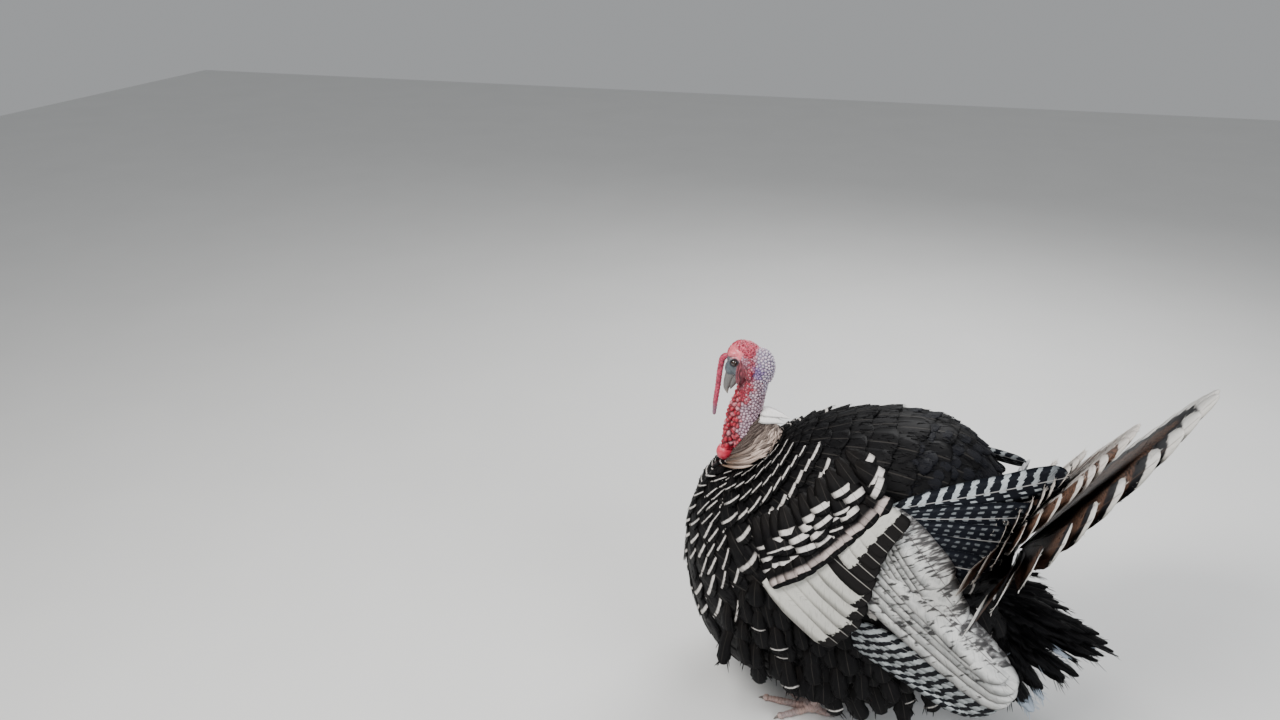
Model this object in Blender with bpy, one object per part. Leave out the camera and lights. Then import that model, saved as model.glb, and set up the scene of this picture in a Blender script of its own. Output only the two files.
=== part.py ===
"""A life-size domestic turkey tom in strut, standing on the floor. Metres, +Z up, the head towards -X.

The bird's left side is towards -Y. Each named part of the body is its own object, parted from its
neighbours by a thin gap. Feathers are thin vanes, laid like tiles and fused to the part they grow from.
The right wing and leg are the left ones mirrored, apart from where the feet stand.
"""

import math
import random

import bmesh
import bpy
from mathutils import Matrix, Vector

# The gap that touching parts keep, and how much larger a cutter is than the part it makes room for
GAP = 0.0003
CLEAR = 0.0004
# Faces this close to one plane are merged, and how much of a lumpy body's faces is kept
FLAT_ANGLE = math.radians(1)
HEAD_KEPT = 0.53
FOOT_KEPT = 0.70

# The puffed plumage from the side: station along the body, lowest point, highest point, half width
BODY = (
    (-0.359, 0.335, 0.350, 0.012),
    (-0.347, 0.255, 0.425, 0.066),
    (-0.322, 0.182, 0.470, 0.112),
    (-0.285, 0.124, 0.498, 0.154),
    (-0.235, 0.086, 0.522, 0.188),
    (-0.170, 0.064, 0.560, 0.211),
    (-0.100, 0.057, 0.600, 0.219),
    (-0.020, 0.060, 0.624, 0.218),
    (0.060, 0.074, 0.634, 0.213),
    (0.125, 0.100, 0.630, 0.198),
    (0.175, 0.138, 0.611, 0.174),
    (0.215, 0.184, 0.578, 0.146),
    (0.250, 0.240, 0.525, 0.112),
    (0.278, 0.298, 0.460, 0.072),
    (0.292, 0.350, 0.380, 0.012),
)
# The widest level as a share of the height, and how square the section is above and below it
BODY_WAIST = 0.44
BACK_POWER = 0.92
BELLY_POWER = 0.66
BODY_RINGS = 21
BODY_SIDES = 24
# The cleft down the middle of the breast
CLEFT_DEPTH = 0.020
CLEFT_HALF = 0.028

# Neck centreline and radii, from inside the chest to inside the head
NECK_PATH = (
    (-0.195, 0, 0.470), (-0.222, 0, 0.530), (-0.236, 0, 0.585), (-0.230, 0, 0.635), (-0.220, 0, 0.690),
)
NECK_RADII = (0.050, 0.039, 0.031, 0.028, 0.028)
NECK_RINGS = 8
# Rows of fleshy knobs round the neck: how far up it each row starts and ends, and how many
KNOB_FIRST = 0.34
KNOB_LAST = 0.88
KNOB_ROWS = 5
KNOBS_FRONT = 3
KNOBS_BACK = 5
KNOB_LARGE = 0.0094
KNOB_SMALL = 0.0060
# The angle between the front knobs of a row, how far rows are staggered, and the arc of the back ones
FRONT_STEP = math.radians(36)
FRONT_STAGGER = math.radians(9)
BACK_START = math.radians(78)
BACK_ARC = math.radians(204)
# Where the thin cut between head and neck passes
THROAT_CUT = Vector((-0.232, 0.0, 0.664))

# The skull is an ellipsoid whose long axis points down the beak
HEAD_CENTRE = Vector((-0.248, 0.0, 0.712))
HEAD_PITCH = math.radians(80)
HEAD_RADII = (0.042, 0.028, 0.034)
NAPE_CENTRE = Vector((-0.214, 0.0, 0.700))
NAPE_RADII = (0.028, 0.026, 0.040)
EYE_CENTRE = Vector((-0.262, -0.0225, 0.714))
EYE_RADIUS = 0.0065
LID_RADIUS = 0.0066
LID_THICK = 0.0017
# Rows of lumps over the crown and knobs down the nape: how many, where the first sits and the arc
# they cover, and how far ahead, aside and above the centre they lie
CROWN_LUMPS = 4
CROWN_START = 28
CROWN_STEP = 20
CROWN_REACH = (0.034, 0.013, 0.040)
CROWN_LUMP = (0.0088, 0.0080, 0.0066)
NAPE_KNOBS = 4
NAPE_START = -50
NAPE_ARC = 125
NAPE_REACH = (0.026, 0.019, 0.037)
NAPE_SIDE_SHARE = 0.85
# The brow's line along the skull, and the cheek folds under the eye, from below the lid to the throat
BROW_START = (-0.030, 0.027)
BROW_STEP = 0.012
BROW_BEND = 0.002
BROW_RADII = (0.0025, 0.0045, 0.0045, 0.0022)
CHEEK_FOLDS = 3
FOLD_START = (-0.016, -0.002)
FOLD_STEP = 0.016
FOLD_DROP = 0.001
FOLD_APART = 0.0075
FOLD_RADII = (0.0015, 0.0032, 0.0032, 0.0018)
LID_OUT = 0.0022
BEAK_ROOT = Vector((-0.267, 0.0, 0.690))
BEAK_TIP = Vector((-0.277, 0.0, 0.637))
# The upper half's radii, and where its bowed ridge is set; both halves are narrower than they are deep
BEAK_RADII = (0.0130, 0.0135, 0.0115, 0.0085, 0.0022)
BEAK_SHARES = (0.35, 0.72)
BEAK_BOW = Vector((-0.0012, 0, 0))
BEAK_SUNK = 0.014
BEAK_NARROW = 0.72
# The mouth's distance under the ridge line, and the lower half below it
MOUTH_DROP = 0.004
LOWER_DROP = 0.003
LOWER_REACH = (-0.012, 0.0, 0.020, 0.037)
LOWER_RADII = (0.0095, 0.0095, 0.0072, 0.0028)
LOWER_NARROW = 0.80
NOSTRIL_ALONG = 0.009
NOSTRIL_FORWARD = 0.0045
NOSTRIL_SIDE = 0.0088
NOSTRIL_RADII = (0.0036, 0.0022, 0.0016)
NOSTRIL_TILT = math.radians(70)
SNOOD_PATH = (
    (-0.276, 0, 0.716), (-0.288, 0, 0.710), (-0.2925, 0, 0.685),
    (-0.295, 0, 0.655), (-0.299, 0, 0.620), (-0.301, 0, 0.590),
)
SNOOD_RADII = (0.0060, 0.0060, 0.0055, 0.0052, 0.0050, 0.0036)
BULB_CENTRE = Vector((-0.277, 0.0, 0.508))
BULB_RADIUS = 0.0175

# The legs: where the drumstick starts, the hock, and the foot's middle
KNEE = {"left": Vector((-0.030, -0.095, 0.215)), "right": Vector((-0.010, 0.095, 0.215))}
HOCK = {"left": Vector((-0.012, -0.112, 0.118)), "right": Vector((0.035, 0.108, 0.118))}
FOOT = {"left": Vector((-0.055, -0.122, 0.014)), "right": Vector((0.005, 0.116, 0.014))}
THIGH_RADII = (0.040, 0.058, 0.052, 0.036, 0.018)
SHANK_RADIUS = 0.0095
SHANK_RADII = (0.010, 0.0115, SHANK_RADIUS, 0.0105)
ANKLE_OFF = Vector((0.004, 0, 0.012))
# Where along the shank its scutes sit, below the feathers, how far off its line, and their radii
SHANK_SCUTES = (0.60, 0.70, 0.80, 0.90)
SCUTE_OFF = Vector((-0.0075, 0, 0.002))
SCUTE_RADII = (0.0036, 0.0068, 0.0060)
SCUTE_TILT = math.radians(14)
# The spur grows backwards from the shank's inner side
SPUR_SHARE = 0.62
SPUR_REACH = (0.003, 0.014, 0.024)
SPUR_RADII = (0.0055, 0.0045, 0.0012)
# A toe's stations along its length, their levels above the ground and their radii
TOE_RADIUS = 0.0080
TOE_SHARES = (0.04, 0.35, 0.68, 1.0)
TOE_LEVELS = (0.010, 0.0065, 0.0062, 0.0042)
TOE_RADII = (0.0100, TOE_RADIUS, TOE_RADIUS * 0.95, TOE_RADIUS * 0.6)
# The step between a toe's scutes, the first one's level and how much lower each next one is
TOE_SCUTE = 0.017
TOE_SCUTE_LEVEL = 0.0115
TOE_SCUTE_FALL = 0.0005
TOE_SCUTE_RADII = (0.0052, 0.0056, 0.0024)
# A claw's line from the toe's tip, forwards and up, and its radii
CLAW_LINE = ((-0.006, 0.0048), (0.003, 0.0050), (0.010, 0.0036), (0.016, 0.0012))
CLAW_RADII = (0.0042, 0.0040, 0.0028, 0.0010)
FOOT_PAD = (0.019, 0.017, 0.013)
# Each toe's length and its heading, outwards from straight ahead
TOES = (("middle", 0.094, -4.0), ("outer", 0.068, 32.0), ("inner", 0.066, -38.0), ("hind", 0.032, 172.0))

# The tail: each tier's root, rise, feather length, how much shorter the side feathers are, half
# spread, number of feathers and their width. The whole fan is rolled so that its left side is raised.
TAIL_ROLL = math.radians(22)
RECTRICES = (Vector((0.300, 0, 0.370)), 55, 0.468, 0.17, 80, 18, 0.086)
TAIL_TIERS = (
    (Vector((0.285, 0, 0.385)), 53, 0.330, 0.10, 82, 13, 0.080),
    (Vector((0.262, 0, 0.395)), 54, 0.270, 0.10, 82, 11, 0.074),
    (Vector((0.240, 0, 0.405)), 57, 0.200, 0.08, 78, 8, 0.066),
    (Vector((0.226, 0, 0.425)), 68, 0.158, 0.20, 52, 6, 0.050),
)
FAN_INNER = 0.030
# Where the rump is parted from the back, and the two layers of its base from each other
RUMP_POINT = Vector((0.205, 0, 0.400))
RUMP_RISE = 68
FAN_LAYER = 0.010
FAN_FLOOR = 0.075
# The fleshy end of the rump that the fan grows from
NUB_SUNK = 0.02
NUB_RADII = (0.062, 0.080, 0.072)

# The feathers under the tail stream from the vent to these tips, on the left side
VENT = Vector((0.235, 0.0, 0.275))
UNDERTAIL_TIPS = (
    (0.530, 0.0, 0.178), (0.470, -0.055, 0.168), (0.400, -0.100, 0.140), (0.325, -0.130, 0.100),
)
UNDERTAIL_COUNT = 9
UNDERTAIL_WIDTH = 0.062
UNDERTAIL_ROOT = 0.08
MOUND_RADII = (0.062, 0.085, 0.048)
MOUND_PITCH = math.radians(12)
# The lower layer lies this far under the upper one, and its feathers are shorter and narrower
LOWER_LAYER = Vector((0, 0, -0.016))
LOWER_LENGTH = 0.72
LOWER_WIDTH = 0.85

# The left wing. Its rows grow from the forearm, between wrist and elbow, at a distance from the
# body's middle, and their tips run from the lowest feather to the highest.
WRIST = Vector((-0.132, -0.222, 0.382))
ELBOW = Vector((0.078, -0.205, 0.522))
ARM_RADII = (0.030, 0.058, 0.070, 0.072, 0.064, 0.034)
ARM_PAST = 0.035
ARM_SIDE = -0.208
HAND_LINE = (Vector((-0.128, -0.205, 0.345)), Vector((0.020, -0.205, 0.275)))
HAND_RADII = (0.018, 0.040, 0.048, 0.042, 0.020)
PAD_FLAT = 0.62
SECONDARY_TIPS = (
    (0.285, -0.236, 0.180), (0.304, -0.234, 0.215), (0.302, -0.230, 0.258),
    (0.270, -0.224, 0.319), (0.224, -0.218, 0.376),
)
SECONDARY_SIDE = -0.233
SECONDARY_COUNT = 9
SECONDARY_WIDTH = 0.056
COVERT_TIPS = (
    (0.004, -0.256, 0.280), (0.045, -0.256, 0.318), (0.082, -0.252, 0.360),
    (0.112, -0.247, 0.405), (0.135, -0.241, 0.450),
)
COVERT_SIDE = -0.246
COVERT_COUNT = 7
COVERT_WIDTH = 0.050
PRIMARY_ROOTS = ((-0.050, -0.223, 0.322), (0.010, -0.223, 0.322))
PRIMARY_TIPS = (
    (0.228, -0.219, 0.162), (0.254, -0.219, 0.157), (0.274, -0.219, 0.165), (0.286, -0.220, 0.180),
)
PRIMARY_COUNT = 6
PRIMARY_WIDTH = 0.034
TERTIAL_ROOTS = ((0.045, -0.205, 0.480), (0.070, -0.200, 0.530))
TERTIAL_TIPS = ((0.205, -0.176, 0.468), (0.228, -0.144, 0.503), (0.252, -0.112, 0.537))
TERTIAL_COUNT = 3
TERTIAL_WIDTH = 0.050
TERTIAL_OUT = Vector((0.1, -1, 0.5))

# The beard hangs from the breast
BEARD_ROOT = Vector((-0.337, 0.0, 0.355))
BEARD_TIP = Vector((-0.345, 0.0, 0.235))
BEARD_BASE = (0.012, 0.009, 0.010)
BEARD_LOCKS = 5
BEARD_SPREAD = 0.010
# How uneven the locks' tips and middles are
LOCK_SWAY = 0.003
LOCK_STEP = 0.006
LOCK_BOW = 0.004
LOCK_BOW_SWAY = 0.002
LOCK_RADII = (0.0034, 0.0028, 0.0009)

# A vane's thickness, how far its edges stand below its quill, and the room between tiled vanes
VANE_THICK = 0.0008
VANE_DROP = 0.0010
TILE_LIFT = 0.0026
# Where along a vane its outline is set, and how wide it is there
MAIN_OUTLINE = ((0.0, 0.16), (0.92, 1.0), (1.0, 0.44))
FLIGHT_OUTLINE = ((0.0, 0.50), (0.84, 0.98), (1.0, 0.40))
COVERT_OUTLINE = ((0.0, 0.40), (0.78, 1.0), (1.0, 0.50))

# Small differences between like pieces come from one seeded draw
DRAW = random.Random(11)

# Each part's colour and roughness
FINISHES = {
    "torso": ((0.030, 0.028, 0.028), 0.55),
    "neck": ((0.60, 0.20, 0.22), 0.5),
    "throat_bulb": ((0.62, 0.05, 0.09), 0.4),
    "head": ((0.60, 0.25, 0.28), 0.5),
    "eye": ((0.020, 0.012, 0.010), 0.1),
    "beak": ((0.30, 0.28, 0.26), 0.35),
    "snood": ((0.62, 0.16, 0.20), 0.45),
    "beard": ((0.015, 0.013, 0.012), 0.7),
    "wing": ((0.50, 0.48, 0.45), 0.6),
    "hand": ((0.30, 0.30, 0.31), 0.55),
    "tail_feathers": ((0.22, 0.13, 0.09), 0.6),
    "tail_coverts": ((0.25, 0.15, 0.10), 0.65),
    "undertail_coverts": ((0.025, 0.024, 0.026), 0.6),
    "thigh": ((0.030, 0.028, 0.028), 0.6),
    "shank": ((0.50, 0.36, 0.33), 0.5),
    "foot": ((0.48, 0.35, 0.32), 0.5),
    "claw": ((0.25, 0.21, 0.18), 0.4),
    "spur": ((0.28, 0.24, 0.20), 0.4),
}


def clear_scene():
    """Starts from an empty scene."""
    for obj in list(bpy.data.objects):
        bpy.data.objects.remove(obj, do_unlink=True)


def remove(*objects):
    for obj in objects:
        bpy.data.objects.remove(obj, do_unlink=True)


def link(name, mesh):
    """Puts a mesh in the scene under a name."""
    obj = bpy.data.objects.new(name, mesh)
    bpy.context.scene.collection.objects.link(obj)
    return obj


def new_object(name, points, faces):
    """A closed mesh object from points and faces, all its faces turned outwards."""
    mesh = bpy.data.meshes.new(name)
    mesh.from_pydata([tuple(p) for p in points], [], faces)
    shape = bmesh.new()
    shape.from_mesh(mesh)
    bmesh.ops.remove_doubles(shape, verts=shape.verts, dist=1e-6)
    bmesh.ops.recalc_face_normals(shape, faces=shape.faces)
    bmesh.ops.triangulate(shape, faces=shape.faces)
    shape.to_mesh(mesh)
    shape.free()
    return link(name, mesh)


def smooth(knots, values, at):
    """A curve through the values at the knots that never overshoots them, read at one place."""
    last = len(knots) - 1
    at = min(max(at, knots[0]), knots[last])
    i = max(k for k in range(last) if knots[k] <= at)
    slopes = [(values[k + 1] - values[k]) / (knots[k + 1] - knots[k]) for k in range(last)]

    def tangent(k):
        if k in (0, last):
            return slopes[min(k, last - 1)]
        a, b = slopes[k - 1], slopes[k]
        return 0.0 if a * b <= 0 else 2 * a * b / (a + b)

    span = knots[i + 1] - knots[i]
    t = (at - knots[i]) / span
    level = (2 * t**3 - 3 * t**2 + 1) * values[i] + (3 * t**2 - 2 * t**3) * values[i + 1]
    return level + span * ((t**3 - 2 * t**2 + t) * tangent(i) + (t**3 - t**2) * tangent(i + 1))


def along_line(points, share):
    """The place at a share of the way along a smooth line through the points."""
    knots = list(range(len(points)))
    return Vector([smooth(knots, [p[axis] for p in points], share * knots[-1]) for axis in range(3)])


def spread_out(points, count):
    """Evenly spaced places along a smooth line through the points."""
    return [along_line(points, i / (count - 1)) for i in range(count)]


def body_section(x):
    """The plumage's lowest point, widest level, highest point and half width at x."""
    stations = [row[0] for row in BODY]
    low, high, half = [smooth(stations, [row[k] for row in BODY], x) for k in (1, 2, 3)]
    return low, low + BODY_WAIST * (high - low), high, half


def body_point(share, turn):
    """A place on the plumage: share runs from breast to rump, and turn goes round each section."""
    first, last = BODY[0][0], BODY[-1][0]
    x = first + (last - first) * (1 - math.cos(math.pi * share)) / 2
    low, waist, high, half = body_section(x)
    c, s = math.cos(turn), math.sin(turn)
    power = BACK_POWER if s > 0 else BELLY_POWER
    y = half * math.copysign(abs(c) ** power, c)
    reach = high - waist if s > 0 else waist - low
    z = waist + reach * math.copysign(abs(s) ** power, s)
    breast = max(0.0, min(1.0, (-0.20 - x) / 0.10)) if z < 0.47 else 0.0
    return Vector((x + CLEFT_DEPTH * breast * math.exp(-((y / CLEFT_HALF) ** 2)), y, z))


def loft(name, rings):
    """A closed body over rings that all have as many points."""
    sides = len(rings[0])
    points = [p for ring in rings for p in ring]
    faces = [tuple(range(sides)), tuple(range(len(points) - sides, len(points)))]
    for a in range(0, len(points) - sides, sides):
        for j in range(sides):
            k = (j + 1) % sides
            faces.append((a + j, a + k, a + k + sides, a + j + sides))
    return new_object(name, points, faces)


def body_shape():
    """The whole puffed plumage as one closed loft."""
    rings = []
    for i in range(BODY_RINGS):
        turns = [2 * math.pi * j / BODY_SIDES for j in range(BODY_SIDES)]
        rings.append([body_point(i / (BODY_RINGS - 1), turn) for turn in turns])
    return loft("torso", rings)


def tube(name, path, radii, sides=12, flatten=1.0):
    """A closed tube along a path that is narrower across Y where flatten is under 1."""
    path = [Vector(p) for p in path]
    rings = []
    for i, centre in enumerate(path):
        ahead = path[min(i + 1, len(path) - 1)] - path[max(i - 1, 0)]
        across = Vector((0, 1, 0)) if abs(ahead.normalized().y) < 0.9 else Vector((1, 0, 0))
        up = ahead.cross(across).normalized()
        across = up.cross(ahead).normalized()
        ring = []
        for j in range(sides):
            turn = 2 * math.pi * j / sides
            side = across * (radii[i] * flatten * math.cos(turn))
            ring.append(centre + side + up * (radii[i] * math.sin(turn)))
        rings.append(ring)
    return loft(name, rings)


def primitive(name, place, make, **sizes):
    """A bmesh primitive set in place by a matrix."""
    shape = bmesh.new()
    make(shape, **sizes)
    bmesh.ops.transform(shape, matrix=place, verts=shape.verts)
    mesh = bpy.data.meshes.new(name)
    shape.to_mesh(mesh)
    shape.free()
    return link(name, mesh)


def ball(name, centre, radii, pitch=0.0, detail=2):
    """An ellipsoid whose first radius is turned down by pitch."""
    place = Matrix.Translation(centre) @ Matrix.Rotation(pitch, 4, "Y") @ Matrix.Diagonal((*radii, 1.0))
    return primitive(name, place, bmesh.ops.create_icosphere, subdivisions=detail, radius=1.0)


def lump(centre, radii):
    """A plain rounded lump of few faces."""
    turn = Matrix.Rotation(math.pi / 2, 4, "X")
    place = Matrix.Translation(centre) @ turn @ Matrix.Diagonal((*radii, 1.0))
    return primitive("lump", place, bmesh.ops.create_uvsphere, u_segments=7, v_segments=5, radius=1.0)


def half_space(point, normal, reach=1.2):
    """A large block on the side of a plane that the normal points to."""
    normal = Vector(normal).normalized()
    turn = normal.to_track_quat("Z", "Y").to_matrix().to_4x4()
    size = Matrix.Diagonal((reach * 2, reach * 2, reach, 1))
    place = Matrix.Translation(Vector(point) + normal * reach / 2) @ turn @ size
    return primitive("space", place, bmesh.ops.create_cube, size=1.0)


def apply_all(obj):
    """Replaces the object's mesh by what its modifiers make of it."""
    graph = bpy.context.evaluated_depsgraph_get()
    made = bpy.data.meshes.new_from_object(obj.evaluated_get(graph), depsgraph=graph)
    obj.modifiers.clear()
    obj.data = made


def cut(body, operation, cutter):
    """One Boolean with one cutter, applied. Both are closed, so the quick solver serves."""
    step = body.modifiers.new("cut", "BOOLEAN")
    step.operation = operation
    step.object = cutter
    step.solver = "MANIFOLD"
    apply_all(body)


def keep_largest(obj):
    """Drops loose scraps and sealed hollows."""
    shape = bmesh.new()
    shape.from_mesh(obj.data)
    left, groups = set(shape.verts), []
    while left:
        group, stack = set(), [left.pop()]
        while stack:
            vert = stack.pop()
            group.add(vert)
            near = [edge.other_vert(vert) for edge in vert.link_edges]
            fresh = [other for other in near if other in left]
            left.difference_update(fresh)
            stack.extend(fresh)
        groups.append(group)

    def reach(group):
        return sum(max(v.co[k] for v in group) - min(v.co[k] for v in group) for k in range(3))

    groups.sort(key=reach)
    loose = [vert for group in groups[:-1] for vert in group]
    bmesh.ops.delete(shape, geom=loose, context="VERTS")
    shape.to_mesh(obj.data)
    shape.free()


def fuse(body, pieces):
    """Joins closed pieces to a body as one surface."""
    group = bpy.data.collections.new("pieces")
    bpy.context.scene.collection.children.link(group)
    for piece in pieces:
        bpy.context.scene.collection.objects.unlink(piece)
        group.objects.link(piece)
    join = body.modifiers.new("join", "BOOLEAN")
    join.operation = "UNION"
    join.operand_type = "COLLECTION"
    join.collection = group
    join.solver = "MANIFOLD"
    apply_all(body)
    remove(*group.objects)
    bpy.data.collections.remove(group)
    keep_largest(body)
    return body


def thin_out(obj, share):
    """Keeps a share of the faces of a lumpy body whose pieces have just been joined."""
    step = obj.modifiers.new("thin", "DECIMATE")
    step.ratio = share
    apply_all(obj)


def merge_flat(obj):
    """Merges faces that lie in one plane, and splits what is left into triangles."""
    shape = bmesh.new()
    shape.from_mesh(obj.data)
    bmesh.ops.dissolve_limit(shape, angle_limit=FLAT_ANGLE, verts=shape.verts, edges=shape.edges)
    bmesh.ops.triangulate(shape, faces=shape.faces)
    shape.to_mesh(obj.data)
    shape.free()


def larger(obj):
    """A copy of a closed body with its faces moved outwards by the clearance."""
    copy = link("room", obj.data.copy())
    shape = bmesh.new()
    shape.from_mesh(copy.data)
    shape.normal_update()
    moves = [vert.normal * CLEAR * vert.calc_shell_factor() for vert in shape.verts]
    for vert, move in zip(shape.verts, moves):
        vert.co += move
    shape.to_mesh(copy.data)
    shape.free()
    return copy


def make_room(body, parts):
    """Cuts each part's shape, a hair larger, out of a body."""
    for part in parts:
        room = larger(part)
        cut(body, "DIFFERENCE", room)
        remove(room)
    keep_largest(body)


def flip(obj):
    """Turns a left part into its right twin, still facing outwards."""
    shape = bmesh.new()
    shape.from_mesh(obj.data)
    for vert in shape.verts:
        vert.co.y = -vert.co.y
    bmesh.ops.reverse_faces(shape, faces=shape.faces)
    shape.to_mesh(obj.data)
    shape.free()
    return obj


def vane(root, tip, out, width, outline, rolls):
    """One feather: a thin bent blade whose quill line stands proud on the face towards out.

    It has six points at each station of its outline, and rolls about its own length by a given
    angle there, so that neighbours lie over one another like tiles.
    """
    along = (tip - root).normalized()
    across = along.cross(out).normalized()
    rise = across.cross(along).normalized()
    points, faces = [], []
    for (share, breadth), roll in zip(outline, rolls):
        centre = root.lerp(tip, share)
        side = (across * math.cos(roll) + rise * math.sin(roll)) * (width * breadth / 2)
        face = rise * math.cos(roll) - across * math.sin(roll)
        drop, skin = face * (VANE_DROP * breadth), face * (VANE_THICK / 2)
        upper = [centre - side - drop + skin, centre + skin, centre + side - drop + skin]
        points += upper + [p - skin * 2 for p in reversed(upper)]
    last = (len(outline) - 1) * 6
    for a in range(0, last, 6):
        b = a + 6
        # Upper and under faces are split along the same diagonals
        for j in (0, 1, 2, 5):
            k = (j + 1) % 6
            faces += [(a + j, a + k, b + k), (a + j, b + k, b + j)]
        for j in (3, 4):
            faces += [(a + j, a + j + 1, b + j), (a + j + 1, b + j + 1, b + j)]
    for a in (0, last):
        faces += [(a, a + 1, a + 4), (a, a + 4, a + 5), (a + 1, a + 2, a + 3), (a + 1, a + 3, a + 4)]
    return new_object("vane", points, faces)


def vane_row(roots, tips, out, width, outline, turn=1):
    """A row of vanes, each rolled so that it clears the next by the tile lift all along."""
    made = []
    for i, (root, tip) in enumerate(zip(roots, tips)):
        k = i + 1 if i + 1 < len(roots) else i - 1
        across = (tip - root).cross(out).normalized()
        rolls = []
        for share, _ in outline:
            apart = abs((roots[k].lerp(tips[k], share) - root.lerp(tip, share)).dot(across))
            rolls.append(turn * math.asin(min(TILE_LIFT / max(apart, 1e-4), 0.5)))
        made.append(vane(root, tip, out, width, outline, rolls))
    return made


def fan_frame(rise):
    """The fan's own axes: up its middle feather, to the bird's left, and out of its front."""
    rise = math.radians(rise)
    up = Vector((math.cos(rise), 0, math.sin(rise)))
    ahead = Vector((-up.z, 0, up.x))
    left = Vector((0, -1, 0)) * math.cos(TAIL_ROLL) + ahead * math.sin(TAIL_ROLL)
    return up, left, left.cross(up).normalized()


def fan_tier(tier, outline):
    """One tier of the fan, from the bird's right to its left."""
    root, rise, length, shrink, spread, count, width = tier
    up, left, front = fan_frame(rise)
    roots, tips = [], []
    for i in range(count):
        angle = math.radians(spread) * (2 * i / (count - 1) - 1)
        ray = up * math.cos(angle) + left * math.sin(angle)
        roots.append(root + ray * FAN_INNER)
        tips.append(root + ray * length * (1 - shrink * abs(math.sin(angle))))
    return vane_row(roots, tips, front, width, outline)


def rump_space(shift):
    """The space behind the rump's plane and above the fan's floor, smaller all round by shift."""
    _, _, front = fan_frame(RUMP_RISE)
    up, _, _ = fan_frame(RECTRICES[1])
    space = half_space(RUMP_POINT - front * shift, -front)
    above = half_space(RECTRICES[0] - up * (FAN_FLOOR - shift), up)
    cut(space, "INTERSECT", above)
    remove(above)
    return space


def build_tail(body, undertail):
    """Parts the rump from the back, and grows the covert tiers and the main fan from its two layers."""
    _, _, front = fan_frame(RECTRICES[1])
    layer = RECTRICES[0] + front * FAN_LAYER
    rump = link("tail_coverts", body.data.copy())
    nub = ball("nub", RECTRICES[0] - Vector((NUB_SUNK, 0, 0)), NUB_RADII)
    cut(rump, "UNION", nub)
    inside, outside = rump_space(GAP), rump_space(0.0)
    cut(rump, "INTERSECT", inside)
    cut(body, "DIFFERENCE", outside)
    fan = link("tail_feathers", rump.data.copy())
    ahead, behind = half_space(layer, front), half_space(layer + front * GAP, -front)
    cut(fan, "DIFFERENCE", ahead)
    cut(rump, "DIFFERENCE", behind)
    remove(nub, inside, outside, ahead, behind)
    make_room(fan, [undertail])
    make_room(rump, [undertail])
    fuse(fan, fan_tier(RECTRICES, MAIN_OUTLINE))
    fuse(rump, [piece for tier in TAIL_TIERS for piece in fan_tier(tier, COVERT_OUTLINE)])
    merge_flat(fan)
    merge_flat(rump)


def build_undertail():
    """The fluffy mound over the vent, and the long feathers that stream from it in two layers."""
    mound = ball("undertail_coverts", VENT, MOUND_RADII, MOUND_PITCH)
    left = [Vector(p) for p in UNDERTAIL_TIPS]
    line = [Vector((p.x, -p.y, p.z)) for p in reversed(left[1:])] + left
    tips = spread_out(line, UNDERTAIL_COUNT)
    roots = [VENT + (tip - VENT) * UNDERTAIL_ROOT for tip in tips]
    rows = vane_row(roots, tips, Vector((0, 0, 1)), UNDERTAIL_WIDTH, FLIGHT_OUTLINE)
    inner = list(zip(roots, tips))[1:-1:2]
    short = [root.lerp(tip, LOWER_LENGTH) + LOWER_LAYER for root, tip in inner]
    low = [root + LOWER_LAYER for root, _ in inner]
    rows += vane_row(low, short, Vector((0, 0, 1)), UNDERTAIL_WIDTH * LOWER_WIDTH, COVERT_OUTLINE)
    fuse(mound, rows)
    return mound


def wing_pads():
    """The fleshy arm and hand of the left wing, lying flat against the body."""
    past = (ELBOW - WRIST).normalized() * ARM_PAST
    arm_line = spread_out((WRIST - past, ELBOW + past), len(ARM_RADII))
    arm_line = [Vector((p.x, ARM_SIDE, p.z)) for p in arm_line]
    arm = tube("wing_left", arm_line, ARM_RADII, 12, PAD_FLAT)
    hand = tube("hand_left", spread_out(HAND_LINE, len(HAND_RADII)), HAND_RADII, 10, PAD_FLAT)
    make_room(hand, [arm])
    return arm, hand


def arm_row(tips, side, count, width, outline):
    """A row along the forearm of the left wing."""
    roots = [Vector((p.x, side, p.z)) for p in spread_out((WRIST, ELBOW), count)]
    return vane_row(roots, spread_out(tips, count), Vector((0, -1, 0)), width, outline)


def arm_feathers():
    """Secondaries, greater coverts over them, and tertials above."""
    rows = arm_row(SECONDARY_TIPS, SECONDARY_SIDE, SECONDARY_COUNT, SECONDARY_WIDTH, FLIGHT_OUTLINE)
    rows += arm_row(COVERT_TIPS, COVERT_SIDE, COVERT_COUNT, COVERT_WIDTH, COVERT_OUTLINE)
    roots, tips = spread_out(TERTIAL_ROOTS, TERTIAL_COUNT), spread_out(TERTIAL_TIPS, TERTIAL_COUNT)
    rows += vane_row(roots, tips, TERTIAL_OUT, TERTIAL_WIDTH, FLIGHT_OUTLINE)
    return rows


def hand_feathers():
    """The primaries, drooped under the secondaries."""
    roots, tips = spread_out(PRIMARY_ROOTS, PRIMARY_COUNT), spread_out(PRIMARY_TIPS, PRIMARY_COUNT)
    return vane_row(roots, tips, Vector((0, -1, 0)), PRIMARY_WIDTH, FLIGHT_OUTLINE)


def build_wings(body):
    """Both wings. Their fleshy bases are let into the body, and their feathers lie outside it."""
    for side in ("left", "right"):
        arm, hand = wing_pads()
        arm_vanes, hand_vanes = arm_feathers(), hand_feathers()
        if side == "right":
            for piece in [arm, hand] + arm_vanes + hand_vanes:
                flip(piece)
            arm.name, hand.name = "wing_right", "hand_right"
        make_room(body, [arm, hand])
        fuse(arm, arm_vanes)
        fuse(hand, hand_vanes)
        merge_flat(arm)
        merge_flat(hand)


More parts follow.
